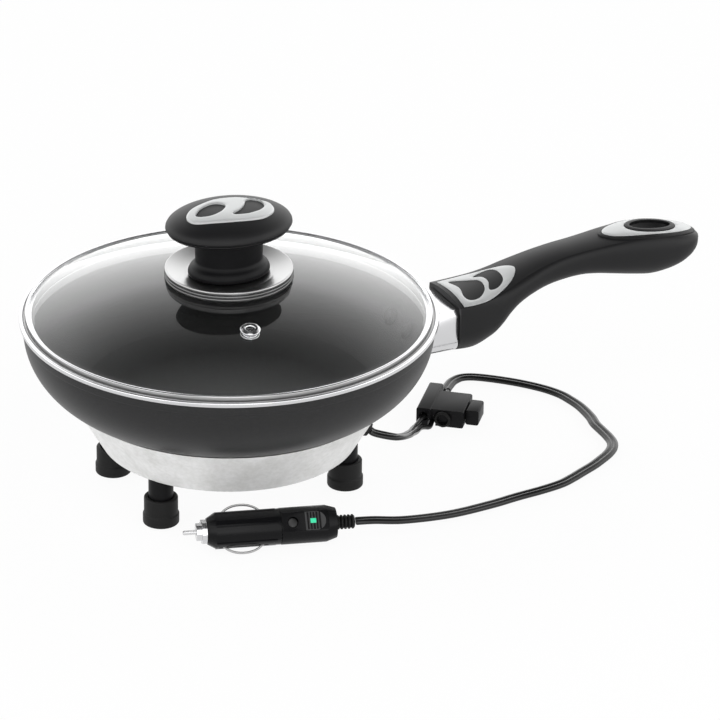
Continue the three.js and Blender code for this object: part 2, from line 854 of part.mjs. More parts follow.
function makeLegs(parent) {
  const post = [
    [0, footFloor + seatGap],
    [legRadius, footFloor + seatGap],
    [legRadius, legTop],
    [legScrewRadius + slideGap, legTop],
    [legScrewRadius + slideGap, legTop - legScrewReach],
    [0, legTop - legScrewReach],
  ];
  const foot = [
    [0, 0],
    [footFlangeRadius - footBevel, 0],
    [footFlangeRadius, footBevel],
    [footFlangeRadius, footFlangeHeight],
    [footRadius, footFlangeHeight + footBevel],
    [footRadius, footHeight - footBevel],
    [footRadius - footBevel, footHeight],
    [legRadius + seatGap, footHeight],
    [legRadius + seatGap, footFloor],
    [0, footFloor],
  ];
  const screw = [
    [0, legTop - legScrewReach + slideGap],
    [legScrewRadius, legTop - legScrewReach + slideGap],
    [legScrewRadius, coverTop + seatGap],
    [legScrewHeadRadius, coverTop + seatGap],
    [legScrewHeadRadius, coverTop + seatGap + legScrewHeadHeight],
    [0, coverTop + seatGap + legScrewHeadHeight],
  ];
  legPlaces().forEach(([x, y], i) => {
    piece(parent, `leg_${i + 1}`, solid(moved(revolve(post, roundSteps), x, y, 0)), 'phenolic');
    piece(parent, `foot_${i + 1}`, solid(moved(revolve(foot, roundSteps), x, y, 0)), 'rubber');
    piece(parent, `leg_screw_${i + 1}`, solid(moved(revolve(screw, roundSteps / 2), x, y, 0)), 'zincSteel');
  });
}

// Heater: a sheathed ring clamped against the pan, with a fibre pad, a cut-out and a terminal block
const heaterTop = panFloorUnder - seatGap;
const heaterMiddle = heaterTop - heaterTubeRadius;
const clampTop = heaterMiddle - heaterTubeRadius - seatGap;
const clampBottom = clampTop - clampThickness;
const padTop = clampBottom - seatGap;
const blockStart = padRadius + seatGap * 3;
const studBottom = baseBottom - studTail;

function makeHeater(parent) {
  const tail = blockStart - seatGap;
  const route = [[tail, heaterTailSpread, heaterMiddle], [(tail + heaterRingRadius) / 2, heaterTailSpread, heaterMiddle]];
  for (let i = 0; i <= heaterSteps; i += 1) {
    const angle = heaterOpening + (turn - heaterOpening * 2) * (i / heaterSteps);
    route.push([heaterRingRadius * Math.cos(angle), heaterRingRadius * Math.sin(angle), heaterMiddle]);
  }
  route.push([(tail + heaterRingRadius) / 2, -heaterTailSpread, heaterMiddle], [tail, -heaterTailSpread, heaterMiddle]);
  const tube = sweep(route, polygonSection(heaterTubeRadius, heaterTubeRadius, 6, 1), heaterSteps + 8);
  piece(parent, 'heater_ring', solid(tube), 'heaterSheath');
  const bore = studRadius + slideGap;
  const plate = (radius, bottom, top) => closed([[bore, bottom], [radius, bottom], [radius, top], [bore, top]]);
  piece(parent, 'heater_clamp', solid(revolve(plate(clampRadius, clampBottom, clampTop), knobSteps)), 'zincSteel');
  const pad = plate(padRadius, padTop - padThickness, padTop);
  piece(parent, 'heater_pad', solid(revolve(pad, knobSteps)), 'ceramicFibre');
  const stud = solid(rod(studRadius, studBottom, panFloorUnder - seatGap - studBottom, roundSteps / 2));
  piece(parent, 'centre_stud', stud, 'zincSteel');
  const nut = solid(rod(nutAcross, baseBottom - seatGap - nutHeight, nutHeight, 6));
  const nutBore = solid(rod(bore, studBottom - cutOverrun, studTail + cutOverrun * 2, roundSteps / 2));
  piece(parent, 'centre_nut', nut.subtract(nutBore), 'zincSteel');
  const base = coverTop + seatGap;
  const terminal = block(
    blockStart,
    blockStart + blockLength,
    -blockWidth / 2,
    blockWidth / 2,
    base,
    base + blockHeight,
  );
  piece(parent, 'terminal_block', solid(terminal), 'ceramicFibre');
  const cutout = [
    [0, base],
    [cutoutRadius, base],
    [cutoutRadius, base + cutoutFootHeight],
    [cutoutNeckRadius, base + cutoutFootHeight],
    [cutoutNeckRadius, heaterTop - cutoutBodyHeight],
    [cutoutRadius, heaterTop - cutoutBodyHeight],
    [cutoutRadius, heaterTop],
    [0, heaterTop],
  ];
  piece(parent, 'thermal_cutout', solid(moved(revolve(cutout, roundSteps), -cutoutPlace, 0, 0)), 'phenolic');
}

// Handle: a bracket riveted to the bowl, a bright sleeve over it and a moulded grip with two silver trims
const gripStart = ferruleEnd + seatGap;
const endTrimCentre = gripStart + gripLength * endTrimPlaceShare;
const hangCentre = gripStart + gripLength * hangPlaceShare;
const gripStationShares = [
  // along, top, bottom, crease width, full width
  [0, 0.645, 0, 0.96, 1],
  [0.071, 0.655, -0.005, 0.96, 1],
  [0.136, 0.681, 0.075, 0.88, 0.975],
  [0.175, 0.709, 0.167, 0.8, 0.95],
  [0.214, 0.743, 0.31, 0.725, 0.9],
  [0.252, 0.783, 0.409, 0.65, 0.85],
  [0.305, 0.832, 0.488, 0.575, 0.775],
  [0.369, 0.883, 0.548, 0.525, 0.69],
  [0.441, 0.922, 0.581, 0.5, 0.64],
  [0.512, 0.945, 0.593, 0.5, 0.63],
  [0.577, 0.964, 0.574, 0.54, 0.66],
  [0.641, 0.984, 0.537, 0.58, 0.715],
  [0.719, 1, 0.491, 0.6, 0.78],
  [0.792, 0.991, 0.458, 0.6, 0.81],
  [0.853, 0.965, 0.475, 0.58, 0.8],
  [0.902, 0.936, 0.512, 0.53, 0.76],
  [0.945, 0.905, 0.573, 0.43, 0.65],
  [0.976, 0.871, 0.641, 0.3, 0.48],
  [1, 0.821, 0.704, 0.1, 0.2],
];

function gripSection([, top, bottom, crease, full], raise) {
  const topHeight = gripRootBottom + gripRise * top + raise;
  const bottomHeight = gripRootBottom + gripRise * bottom;
  const edge = gripHalfWidth * crease;
  const side = gripHalfWidth * full;
  const crown = gripCrown * crease;
  const middle = bottomHeight + (topHeight - bottomHeight) * 0.6;
  const points = [];
  for (const share of [1, 0.5, 0, -0.5, -1]) {
    points.push([edge * share, topHeight - crown * share * share]);
  }
  const down = [];
  for (const angle of [0.5, 1]) {
    const lean = angle * quarter;
    down.push([edge + (side - edge) * Math.sin(lean), middle + (topHeight - crown - middle) * Math.cos(lean)]);
  }
  for (const angle of [0.25, 0.5, 0.75]) {
    const lean = angle * quarter;
    down.push([
      side * Math.cos(lean) ** 0.8,
      middle - (middle - bottomHeight) * Math.sin(lean) ** 0.8,
    ]);
  }
  const left = down.map(([y, z]) => [-y, z]);
  return [...points, ...left, [0, bottomHeight], ...down.reverse()];
}

function gripLoft(raise) {
  const rings = gripStationShares.map((station) => (
    gripSection(station, raise).map(([y, z]) => [gripStart + gripLength * station[0], y, z])
  ));
  const count = rings[0].length;
  const places = rings.flat(2);
  const index = [];
  for (let i = 0; i + 1 < rings.length; i += 1) {
    for (let j = 0; j < count; j += 1) {
      const next = (j + 1) % count;
      const [a, b] = [i * count + j, i * count + next];
      index.push(a, b, a + count, b, b + count, a + count);
    }
  }
  const last = (rings.length - 1) * count;
  for (let j = 1; j + 1 < count; j += 1) {
    index.push(0, j + 1, j);
    index.push(last, last + j, last + j + 1);
  }
  const geometry = new THREE.BufferGeometry();
  geometry.setAttribute('position', new THREE.Float32BufferAttribute(places, 3));
  geometry.setIndex(index);
  return solid(geometry);
}

const frontEdgeShares = [
  [0, 0], [0.04, 0.98], [0.22, 1], [0.42, 0.96], [0.62, 0.8], [0.78, 0.62], [0.92, 0.36], [1, 0],
];
const frontWindowShares = [
  [
    [0.16, 0.72], [0.37, 0.47], [0.51, 0.18], [0.48, -0.36], [0.33, -0.73], [0.18, -0.73],
    [0.14, -0.45], [0.19, 0.07],
  ],
  [
    [0.49, 0.56], [0.71, 0.64], [0.8, 0.32], [0.77, -0.29], [0.63, -0.57], [0.52, -0.5], [0.59, -0.07],
    [0.58, 0.32],
  ],
];

function frontTrimOutline(grow) {
  const start = gripStart + frontTrimStart;
  const points = [];
  for (const side of [1, -1]) {
    const edge = frontEdgeShares.slice(1, -1).map(([along, across]) => [
      start + frontTrimLength * along + grow * (along < 0.1 ? -1 : 1 / 2),
      frontTrimShift + side * (frontTrimHalfWidth * across + grow),
    ]);
    points.push(...(side > 0 ? edge : edge.reverse()));
    if (side > 0) {
      points.push([start + frontTrimLength + grow, frontTrimShift]);
    }
  }
  const loops = [new THREE.Shape(points.map(([x, y]) => new THREE.Vector2(x, y)))];
  for (const window of frontWindowShares) {
    const hole = window.map(([x, y]) => [start + x * frontTrimLength, frontTrimShift + y * frontTrimHalfWidth]);
    loops.push(insetLoop(blobOutline(hole, roundSteps), grow));
  }
  return loops;
}

function endTrimOutline(grow) {
  const rim = hangRim + seatGap - grow;
  return [
    oval(endTrimHalfLength + grow, endTrimHalfWidth + grow, endTrimCentre),
    oval(hangHalfLength + rim, hangHalfWidth + rim, hangCentre),
  ];
}

function through(loops, start = -cutOverrun) {
  return plateWithWindows(loops, gripRootBottom + start, gripRise + cutOverrun * 3);
}

function handleScrewColumn(radius, bottom, top) {
  return solid(moved(rod(radius, bottom, top - bottom), gripStart + handleScrewPlace, 0, 0));
}

function makeHandle(parent) {
  const ferruleMiddle = ferruleBottom + ferruleHeight / 2;
  const sleeve = (inset) => {
    const half = ferruleWidth / 2 - inset;
    const [low, high] = [ferruleBottom + inset, ferruleBottom + ferruleHeight - inset];
    const shape = new THREE.Shape();
    shape.moveTo(-half + ferruleRound, low);
    shape.lineTo(half - ferruleRound, low);
    shape.absarc(half - ferruleRound, low + ferruleRound, ferruleRound, -quarter, 0);
    shape.lineTo(half, high - ferruleBevel);
    shape.lineTo(half - ferruleBevel / 2, high);
    shape.lineTo(-half + ferruleBevel / 2, high);
    shape.lineTo(-half, high - ferruleBevel);
    shape.absarc(-half + ferruleRound, low + ferruleRound, ferruleRound, -Math.PI, -quarter);
    return shape;
  };
  const room = panRoom();
  const along = (shape, start, end) => solid(moved(alongX(prism(shape, 0, end - start, 4)), start, 0, 0));
  const outer = along(sleeve(0), bracketStart, ferruleEnd);
  const inner = along(sleeve(ferruleWall), bracketStart - cutOverrun, ferruleEnd + cutOverrun);
  piece(parent, 'handle_ferrule', outer.subtract(inner).subtract(room), 'brightSteel');

  const tongueEnd = gripStart + tongueLength;
  const tongue = (grow, start, end) => block(
    start,
    end,
    -tongueWidth / 2 - grow,
    tongueWidth / 2 + grow,
    ferruleMiddle - tongueHeight / 2 - grow,
    ferruleMiddle + tongueHeight / 2 + grow,
  );
  const bossHeights = [ferruleMiddle - bracketHeight / 2, ferruleMiddle + bracketHeight / 2];
  const boss = solid(block(bracketStart, ferruleEnd - seatGap, -bracketWidth / 2, bracketWidth / 2, ...bossHeights));
  const sleeveRoom = along(sleeve(ferruleWall + seatGap), bracketStart - cutOverrun, ferruleEnd + cutOverrun);
  const screwTop = ferruleMiddle + tongueHeight / 4;
  const screwHole = handleScrewColumn(handleScrewRadius + slideGap, gripRootBottom - cutOverrun, screwTop + slideGap);
  const bracket = boss.intersect(sleeveRoom)
    .add(solid(tongue(0, ferruleEnd - bracketHeight / 2, tongueEnd)))
    .subtract(room)
    .subtract(rivetHoles())
    .subtract(screwHole);
  piece(parent, 'handle_bracket', bracket, 'castAluminium');

  const pad = through([oval(endTrimHalfLength + endPadMargin, endTrimHalfWidth + endPadMargin, endTrimCentre)]);
  const rim = through([oval(hangHalfLength + hangRim, hangHalfWidth + hangRim, hangCentre)]);
  const hang = through([oval(hangHalfLength, hangHalfWidth, hangCentre)]);
  const padSurface = gripPadRaise;
  const shallow = gripLoft(-trimDepth - seatGap);
  const frontRecess = through(frontTrimOutline(seatGap), frontTrimFloor).subtract(shallow);
  const endRecess = through(endTrimOutline(seatGap), endTrimFloor).subtract(gripLoft(padSurface - trimDepth - seatGap));
  const headRoom = gripRootBottom + handleScrewDepth + handleScrewHeadHeight;
  const grip = gripLoft(0)
    .add(pad.intersect(gripLoft(padSurface)))
    .subtract(frontRecess)
    .subtract(endRecess)
    .add(rim.intersect(gripLoft(padSurface + hangRimProud)))
    .subtract(hang)
    .subtract(solid(tongue(seatGap, gripStart - cutOverrun, tongueEnd + seatGap)))
    .subtract(handleScrewColumn(handleScrewHeadRadius + slideGap, gripRootBottom - cutOverrun, headRoom))
    .subtract(screwHole);
  piece(parent, 'handle_grip', grip, 'softTouch');
  const frontTrim = through(frontTrimOutline(0), frontTrimFloor).intersect(gripLoft(trimProud)).subtract(gripLoft(-trimDepth));
  piece(parent, 'handle_front_trim', frontTrim, 'silverTrim');
  const endTrim = through(endTrimOutline(0), endTrimFloor).intersect(gripLoft(padSurface + trimProud))
    .subtract(gripLoft(padSurface - trimDepth));
  piece(parent, 'handle_end_trim', endTrim, 'silverTrim');
  const head = handleScrewColumn(handleScrewHeadRadius, headRoom - handleScrewHeadHeight - seatGap, headRoom - seatGap);
  const shank = handleScrewColumn(handleScrewRadius, headRoom - handleScrewHeadHeight, screwTop);
  piece(parent, 'handle_screw', head.add(shank), 'zincSteel');
}

// Lead: flat twin cord, as it lies on the floor round the end of the handle. Places are measured from
// the edge of the bowl.
function fromBowl(places) {
  return places.map(([x, y, z]) => [bowlRadius + x, y, z]);
}

const leadRoute = [
  besideGrommet(grommetFront + seatGap * 2),
  besideGrommet(grommetFront + seatGap * 2 + grommetNose * 2),
  ...fromBowl([
    [-31.7, -39.8, 27], [-25.5, -38.1, 24.8], [-17.2, -29.1, 20], [-8.6, -15.5, 13.2], [-1.2, -4.3, 7.6],
    [3.2, 1.7, 5.6], [6.5, 5.5, 4.6],
  ]),
];
const mainRoute = fromBowl([
  [43.2, 45.6, 1.9], [47.9, 50.7, 1.9], [53.2, 55.2, 1.9], [60.2, 57.1, 1.9], [69.2, 52.8, 1.9],
  [83.3, 40.1, 1.9], [94.1, 26.7, 1.9], [99.8, 15.7, 1.9], [101.9, 6.4, 1.9], [102.9, -2.5, 1.9],
  [102.7, -10.7, 1.9], [101.9, -18.6, 1.9], [100.3, -26.2, 1.9], [99.9, -34.2, 1.9], [99.5, -42.1, 1.9],
  [98.2, -50, 1.9], [94.8, -56.4, 1.9], [89.2, -61.9, 1.9], [82, -66.9, 1.9], [74.8, -71.3, 1.9],
  [66.2, -75.6, 1.9], [58.1, -79.7, 1.9], [49.1, -83.4, 1.9], [36.1, -85.8, 1.9], [20.3, -87.5, 1.9],
  [2.4, -91, 2.5], [-24.4, -96.2, 4.8], [-52.1, -98.5, 8.4], [-68.9, -95.9, 10.6], [-78.4, -93.2, 10.7],
]);
const returnRoute = fromBowl([
  [7.1, 3.8, 4.8], [10.5, 5.9, 3.6], [15, 8.1, 1.9], [18.8, 12.9, 1.9], [23.2, 18.3, 1.9],
  [28.6, 25.1, 1.9], [34.1, 31.8, 1.9], [38.7, 37.3, 1.9], [41.6, 41.1, 1.9], [44, 44.2, 1.9],
]);
const fusedInRoute = fromBowl([[4.8, 5.8, 4.8], [9.3, 9.5, 5.4], [13.3, 13, 6], [15.8, 16.1, 6]]);
const fusedOutRoute = fromBowl([[33.4, 38.2, 6], [35.2, 40.6, 6], [37.2, 42.8, 5.4], [39.6, 44.8, 3], [42.9, 47.4, 1.9]]);

function makeCord(parent) {
  const flat = polygonSection(cordThickness / 2, cordWidth / 2, 8, 0.7);
  const round = polygonSection(wireRadius, wireRadius, 8, 1);
  const lead = solid(sweep(leadRoute, flat, 14));
  const returnWire = solid(sweep(returnRoute, round, 12));
  const fusedIn = solid(sweep(fusedInRoute, round, 4));
  piece(parent, 'cord_lead', joinAll([lead, returnWire, fusedIn]), 'cordJacket');
  const main = solid(sweep(mainRoute, flat, 46));
  const fusedOut = solid(sweep(fusedOutRoute, round, 5));
  piece(parent, 'cord_main', joinAll([main, fusedOut]), 'cordJacket');
  const grommet = [
    [0, grommetBack],
    [grommetFlangeRadius, grommetBack],
    [grommetFlangeRadius, grommetBack + grommetInner],
    [grommetBodyRadius, grommetBack + grommetInner],
    [grommetBodyRadius, seatGap],
    [grommetFlangeRadius, seatGap],
    [grommetFlangeRadius, seatGap + grommetFlange],
    [grommetNoseRadius, grommetFront],
    [0, grommetFront],
  ];
  piece(parent, 'cord_grommet', solid(onGrommet(revolve(grommet, roundSteps))), 'rubber');
  const wireMiddle = blockStart + blockLength / 2;
  const wire = [
    besideGrommet(grommetBack - seatGap * 2),
    besideGrommet(grommetBack - seatGap - grommetFlange * 2),
    [wireMiddle, -blockWidth, wireHeight],
    [wireMiddle, -blockWidth / 2 - seatGap, wireHeight],
  ];
  const section = polygonSection(innerWireRadius, innerWireRadius, 6, 1);
  piece(parent, 'inner_wires', solid(sweep(wire, section, 8)), 'cordJacket');
}

function roundedBox(x0, x1, y0, y1, z0, z1, radius) {
  const shape = new THREE.Shape();
  shape.moveTo(x0 + radius, z0);
  shape.lineTo(x1 - radius, z0);
  shape.absarc(x1 - radius, z0 + radius, radius, -quarter, 0);
  shape.lineTo(x1, z1 - radius);
  shape.absarc(x1 - radius, z1 - radius, radius, 0, quarter);
  shape.lineTo(x0 + radius, z1);
  shape.absarc(x0 + radius, z1 - radius, radius, quarter, Math.PI);
  shape.lineTo(x0, z0 + radius);
  shape.absarc(x0 + radius, z0 + radius, radius, Math.PI, quarter * 3);
  const geometry = prism(shape, 0, y1 - y0, 2);
  geometry.rotateX(quarter);
  geometry.translate(0, y1, 0);
  return geometry;
}

function makeFuseHolder(parent) {
  const holder = new THREE.Group();
  holder.position.set(bowlRadius + holderX, holderY, 0);
  holder.rotation.z = holderAngle;
  parent.add(holder);
  const bodyEnd = holderBlockWidth + holderBodyLength;
  const bodyFar = holderBodyInset + holderBodyWidth;
  const blockHeights = [holderLift, holderLift + holderBlockHeight];
  const wireBlock = solid(roundedBox(0, holderBlockWidth, 0, holderBlockLength, ...blockHeights, holderRound));
  const bodyHeights = [holderLift, holderLift + holderBodyHeight];
  const body = solid(roundedBox(
    holderBlockWidth - holderRound * 2,
    bodyEnd,
    holderBodyInset,
    bodyFar,
    ...bodyHeights,
    holderRound,
  ));
  const bores = [];
  for (const [end, way] of [[0, 1], [holderBlockLength, -1]]) {
    const bore = (radius, depth) => {
      const geometry = alongY(rod(radius, -cutOverrun, depth + cutOverrun, roundSteps));
      if (way < 0) {
        geometry.rotateZ(Math.PI);
      }
      return solid(moved(geometry, holderBlockWidth / 2, end, holderBoreHeight));
    };
    bores.push(bore(holderMouthRadius, holderMouthDepth), bore(holderBoreRadius, holderBoreDepth));
  }
  const groove = block(
    holderGroovePlace - holderGrooveWidth / 2,
    holderGroovePlace + holderGrooveWidth / 2,
    -cutOverrun,
    holderBlockLength + cutOverrun,
    -cutOverrun,
    holderGrooveHeight,
  );
  const fuseEnd = bodyEnd + fuseShown;
  const fuseStart = fuseEnd - fuseLength;
  const pocketStart = fuseStart - bladeLength - seatGap;
  const pocket = block(
    pocketStart,
    bodyEnd + cutOverrun,
    fuseMiddle - fuseWidth / 2 - seatGap,
    fuseMiddle + fuseWidth / 2 + seatGap,
    fuseHeight - fuseThickness / 2 - seatGap,
    fuseHeight + fuseThickness / 2 + seatGap,
  );
  const hollow = joinAll([...bores, solid(groove), solid(pocket)]);
  piece(holder, 'fuse_holder', wireBlock.add(body).subtract(hollow), 'plugPlastic');
  const fuse = [block(
    fuseStart,
    fuseEnd,
    fuseMiddle - fuseWidth / 2,
    fuseMiddle + fuseWidth / 2,
    fuseHeight - fuseThickness / 2,
    fuseHeight + fuseThickness / 2,
  )];
  for (const side of [-1, 1]) {
    fuse.push(block(
      fuseStart - bladeLength,
      fuseStart + bladeLength / 4,
      fuseMiddle + side * bladeSpread - bladeWidth / 2,
      fuseMiddle + side * bladeSpread + bladeWidth / 2,
      fuseHeight - bladeThickness / 2,
      fuseHeight + bladeThickness / 2,
    ));
  }
  piece(holder, 'blade_fuse', joinAll(fuse.map(solid)), 'fusePlastic');
  const capStart = bodyEnd + seatGap;
  const cap = solid(roundedBox(
    capStart,
    capStart + capLength,
    fuseMiddle - capWidth / 2,
    fuseMiddle + capWidth / 2,
    fuseHeight - capHeight / 2,
    fuseHeight + capHeight / 2,
    holderRound,
  ));
  const capHollow = block(
    capStart - cutOverrun,
    fuseEnd + seatGap,
    fuseMiddle - capWidth / 2 + capWall,
    fuseMiddle + capWidth / 2 - capWall,
    fuseHeight - capHeight / 2 + capWall,
    fuseHeight + capHeight / 2 - capWall,
  );
  piece(holder, 'fuse_cap', cap.subtract(solid(capHollow)), 'plugPlastic');
  const ring = new THREE.TorusGeometry(tetherRadius, tetherTube, 6, roundSteps);
  ring.rotateX(quarter);
  ring.translate(tetherPlace, holderBodyInset - seatGap - tetherTube, tetherHeight);
  piece(holder, 'fuse_tether', solid(ring), 'rubber');
}

// Plug for a vehicle socket, built along its own +X from the tip, with its flat panel facing its own +Z
const barrelStart = tipShown + noseLength + seatGap;
const barrelEnd = barrelStart + barrelLength;
const shellStart = barrelEnd + seatGap;
const shellEnd = shellStart + shellLength;

function makePlug(parent) {
  const heading = new THREE.Group();
  heading.position.set(bowlRadius + plugX, plugY, plugHeight);
  heading.rotation.z = plugHeading;
  parent.add(heading);
  const plug = new THREE.Group();
  plug.rotation.x = plugRoll;
  heading.add(plug);
  const spin = (outline, steps) => solid(alongX(revolve(outline, steps)));

  const flangeStart = barrelStart + seatGap * 2;
  const tip = [
    [0, 0],
    [tipRadius * 0.7, 0],
    [tipRadius, tipRadius / 2],
    [tipRadius, flangeStart],
    [tipFlangeRadius, flangeStart],
    [tipFlangeRadius, flangeStart + tipFlange],
    [0, flangeStart + tipFlange],
  ];
  piece(plug, 'plug_tip', spin(tip, roundSteps / 2), 'brightSteel');
  const nose = [
    [tipRadius + slideGap, tipShown],
    [noseSmallRadius, tipShown],
    [noseSmallRadius, tipShown + noseStep],
    [noseRadius, tipShown + noseStep],
    [noseRadius, tipShown + noseLength],
    [tipRadius + slideGap, tipShown + noseLength],
  ];
  piece(plug, 'plug_nose_ring', spin(closed(nose), roundSteps), 'brightSteel');

  const barrelOutline = [
    [barrelBore, barrelStart],
    [barrelNoseRadius, barrelStart],
    [barrelRadius, barrelStart + barrelTaper],
    [barrelRadius, barrelEnd],
    [barrelBore, barrelEnd],
  ];
  const parts = [spin(closed(barrelOutline), roundSteps * 2)];
  for (let i = 0; i < barrelRibCount; i += 1) {
    const rib = block(
      barrelStart + barrelTaper,
      barrelEnd - barrelTaper / 2,
      -barrelRibWidth / 2,
      barrelRibWidth / 2,
      barrelBore * 2,
      barrelRadius + barrelRibHeight,
    );
    rib.rotateX((i / barrelRibCount) * turn);
    parts.push(solid(rib));
  }
  const slotHalf = contactHalfLength + contactWireRadius + contactSlotMargin;
  const slots = [-1, 1].map((side) => solid(block(
    contactPlace - slotHalf,
    contactPlace + slotHalf,
    side * barrelBore * 0.9,
    side * (barrelRadius + cutOverrun),
    -contactWireRadius - slideGap,
    contactWireRadius + slideGap,
  )));
  piece(plug, 'plug_barrel', joinAll(parts).subtract(joinAll(slots)), 'plugPlastic');

  const contactShares = [[-1, 0], [-0.75, 0.53], [-0.4, 0.89], [0, 1], [0.4, 0.89], [0.75, 0.53], [1, 0]];
  for (const [name, side] of [['plug_contact_lower', -1], ['plug_contact_upper', 1]]) {
    const route = contactShares.map(([along, out]) => [
      contactPlace + contactHalfLength * along,
      side * (contactInner + (contactReach - contactInner) * out),
      0,
    ]);
    const wire = sweep(route, polygonSection(contactWireRadius, contactWireRadius, 8, 1), 12);
    piece(plug, name, solid(wire), 'brightSteel');
  }
  const fuseStart = flangeStart + tipFlange + tipTravel + seatGap;
  const fuse = alongX(rod(glassFuseRadius, fuseStart, glassFuseLength, roundSteps));
  piece(plug, 'plug_fuse', solid(fuse), 'glass');

  const shellOutline = [
    [0, shellStart],
    [shellRadius, shellStart],
    [shellRadius, shellEnd - shellTaper],
    [shellEndRadius, shellEnd],
    [0, shellEnd],
  ];
  const relief = solid(alongX(rod(reliefRadius + seatGap, shellEnd - reliefSeat, reliefSeat + cutOverrun)));
  const wide = shellRadius * 2;
  const keep = (low, high) => solid(block(shellStart - cutOverrun, shellEnd + cutOverrun, -wide, wide, low, high));
  const screwPlace = shellStart + panelScrewPlace;
  const hole = solid(moved(rod(panelScrewRadius + slideGap, -panelScrewReach - slideGap, wide), screwPlace, 0, 0));
  const shell = spin(shellOutline, roundSteps * 2).subtract(relief).subtract(hole);
  piece(plug, 'plug_lower_shell', shell.intersect(keep(-wide, -seatGap / 2)), 'plugPlastic');
  const panelCut = block(
    shellStart + seatGap,
    shellStart + panelLength,
    -wide,
    wide,
    panelHeight,
    wide,
  );
  const ribs = [];
  for (let i = 0; i < ribCount; i += 1) {
    const start = shellStart + ribPlace + ribPitch * i;
    ribs.push(solid(block(start, start + ribWidth, -ribReach, ribReach, panelHeight - ribWidth, panelHeight + ribProud)));
  }
  const lampMiddle = shellStart + lampPlace;
  const lamp = (grow, bottom, top) => solid(block(
    lampMiddle - lampLength / 2 - grow,
    lampMiddle + lampLength / 2 + grow,
    -lampWidth / 2 - grow,
    lampWidth / 2 + grow,
    bottom,
    top,
  ));
  const recess = solid(moved(rod(panelRecessRadius, panelHeight - panelRecessDepth, cutOverrun), screwPlace, 0, 0));
  const lampFloor = panelHeight + ribProud - lampHeight;
  const upper = shell.intersect(keep(seatGap / 2, wide))
    .subtract(solid(panelCut))
    .add(joinAll(ribs))
    .subtract(recess)
    .subtract(lamp(seatGap, lampFloor - seatGap, wide));
  piece(plug, 'plug_upper_shell', upper, 'plugPlastic');
  piece(plug, 'plug_lamp', lamp(0, lampFloor, panelHeight + ribProud), 'greenLamp');
  const headSeat = panelHeight - panelRecessDepth + seatGap;
  const shank = moved(rod(panelScrewRadius, -panelScrewReach, panelScrewReach + headSeat + seatGap), screwPlace, 0, 0);
  const head = moved(rod(panelScrewHeadRadius, headSeat, panelScrewHeadHeight), screwPlace, 0, 0);
  piece(plug, 'plug_screw', solid(shank).add(solid(head)), 'zincSteel');

  const sleeve = [[0, shellEnd - reliefSeat + seatGap], [reliefRadius, shellEnd - reliefSeat + seatGap]];
  for (let i = 0; i < reliefRings; i += 1) {
    const ring = shellEnd + seatGap + reliefPitch * i;
    sleeve.push([reliefRadius, ring]);
    sleeve.push([reliefRingRadius, ring + reliefPitch / 4]);
    sleeve.push([reliefRingRadius, ring + (reliefPitch * 3) / 5]);
  }
  const sleeveEnd = shellEnd + seatGap + reliefPitch * reliefRings;
  sleeve.push([reliefRadius, sleeveEnd], [0, sleeveEnd]);
  piece(plug, 'plug_relief', spin(sleeve, roundSteps), 'rubber');
}

// The whole skillet, with the origin under the middle of its body and handle
const handleEnd = gripStart + gripLength;
const group = new THREE.Group();
const skillet = new THREE.Group();
skillet.position.x = (bandRadius - handleEnd) / 2;
group.add(skillet);
makePan(skillet);
makeHandle(skillet);
makeBase(skillet);
makeHeater(skillet);
makeLegs(skillet);
makeCord(skillet);
makeFuseHolder(skillet);
makePlug(skillet);
const lid = new THREE.Group();
skillet.add(lid);
makeLid(lid);
makeKnob(lid);

export default group;
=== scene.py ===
# %% [markdown]
# # A travel skillet, dressed for its portrait
# The CAD part is the frame of this scene. Each cell below adds one thing on top of it: finer surfaces,
# finishes, the cord as it lies, light, and the camera. The object's sizes are millimetres, as on a drawing,
# measured from the pan's axis and the table, and `MM` turns them into metres. Places in the scene, such as
# the pan's axis, the lamps and the camera, are metres.

import math

import bmesh
import bpy
from mathutils import Matrix, Vector
from mathutils.bvhtree import BVHTree


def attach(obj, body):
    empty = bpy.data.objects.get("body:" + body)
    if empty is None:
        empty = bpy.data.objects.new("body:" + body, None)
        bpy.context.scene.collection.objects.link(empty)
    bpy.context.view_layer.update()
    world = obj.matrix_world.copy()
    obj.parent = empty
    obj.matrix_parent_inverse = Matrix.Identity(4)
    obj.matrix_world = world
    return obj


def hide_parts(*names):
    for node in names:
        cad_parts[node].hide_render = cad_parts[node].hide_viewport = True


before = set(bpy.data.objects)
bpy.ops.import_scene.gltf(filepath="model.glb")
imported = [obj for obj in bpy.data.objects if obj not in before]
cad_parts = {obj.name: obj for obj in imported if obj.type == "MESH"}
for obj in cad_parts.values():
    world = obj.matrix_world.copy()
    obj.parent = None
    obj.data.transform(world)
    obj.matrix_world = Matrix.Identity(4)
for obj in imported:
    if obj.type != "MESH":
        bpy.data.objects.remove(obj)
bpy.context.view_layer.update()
MM = 0.001
TURN = math.tau
BODY = "skillet"
PAN_AXIS = Vector((-0.08555, 0.0, 0.0))
TO_PAN = Matrix.Translation(PAN_AXIS)

# %% [markdown]
# ## Finishes as formulas
# A finish is easier to read as a formula than as a list of links. `Wire` holds one socket, and the
# ordinary operators on it add a Math or Vector Math node each.

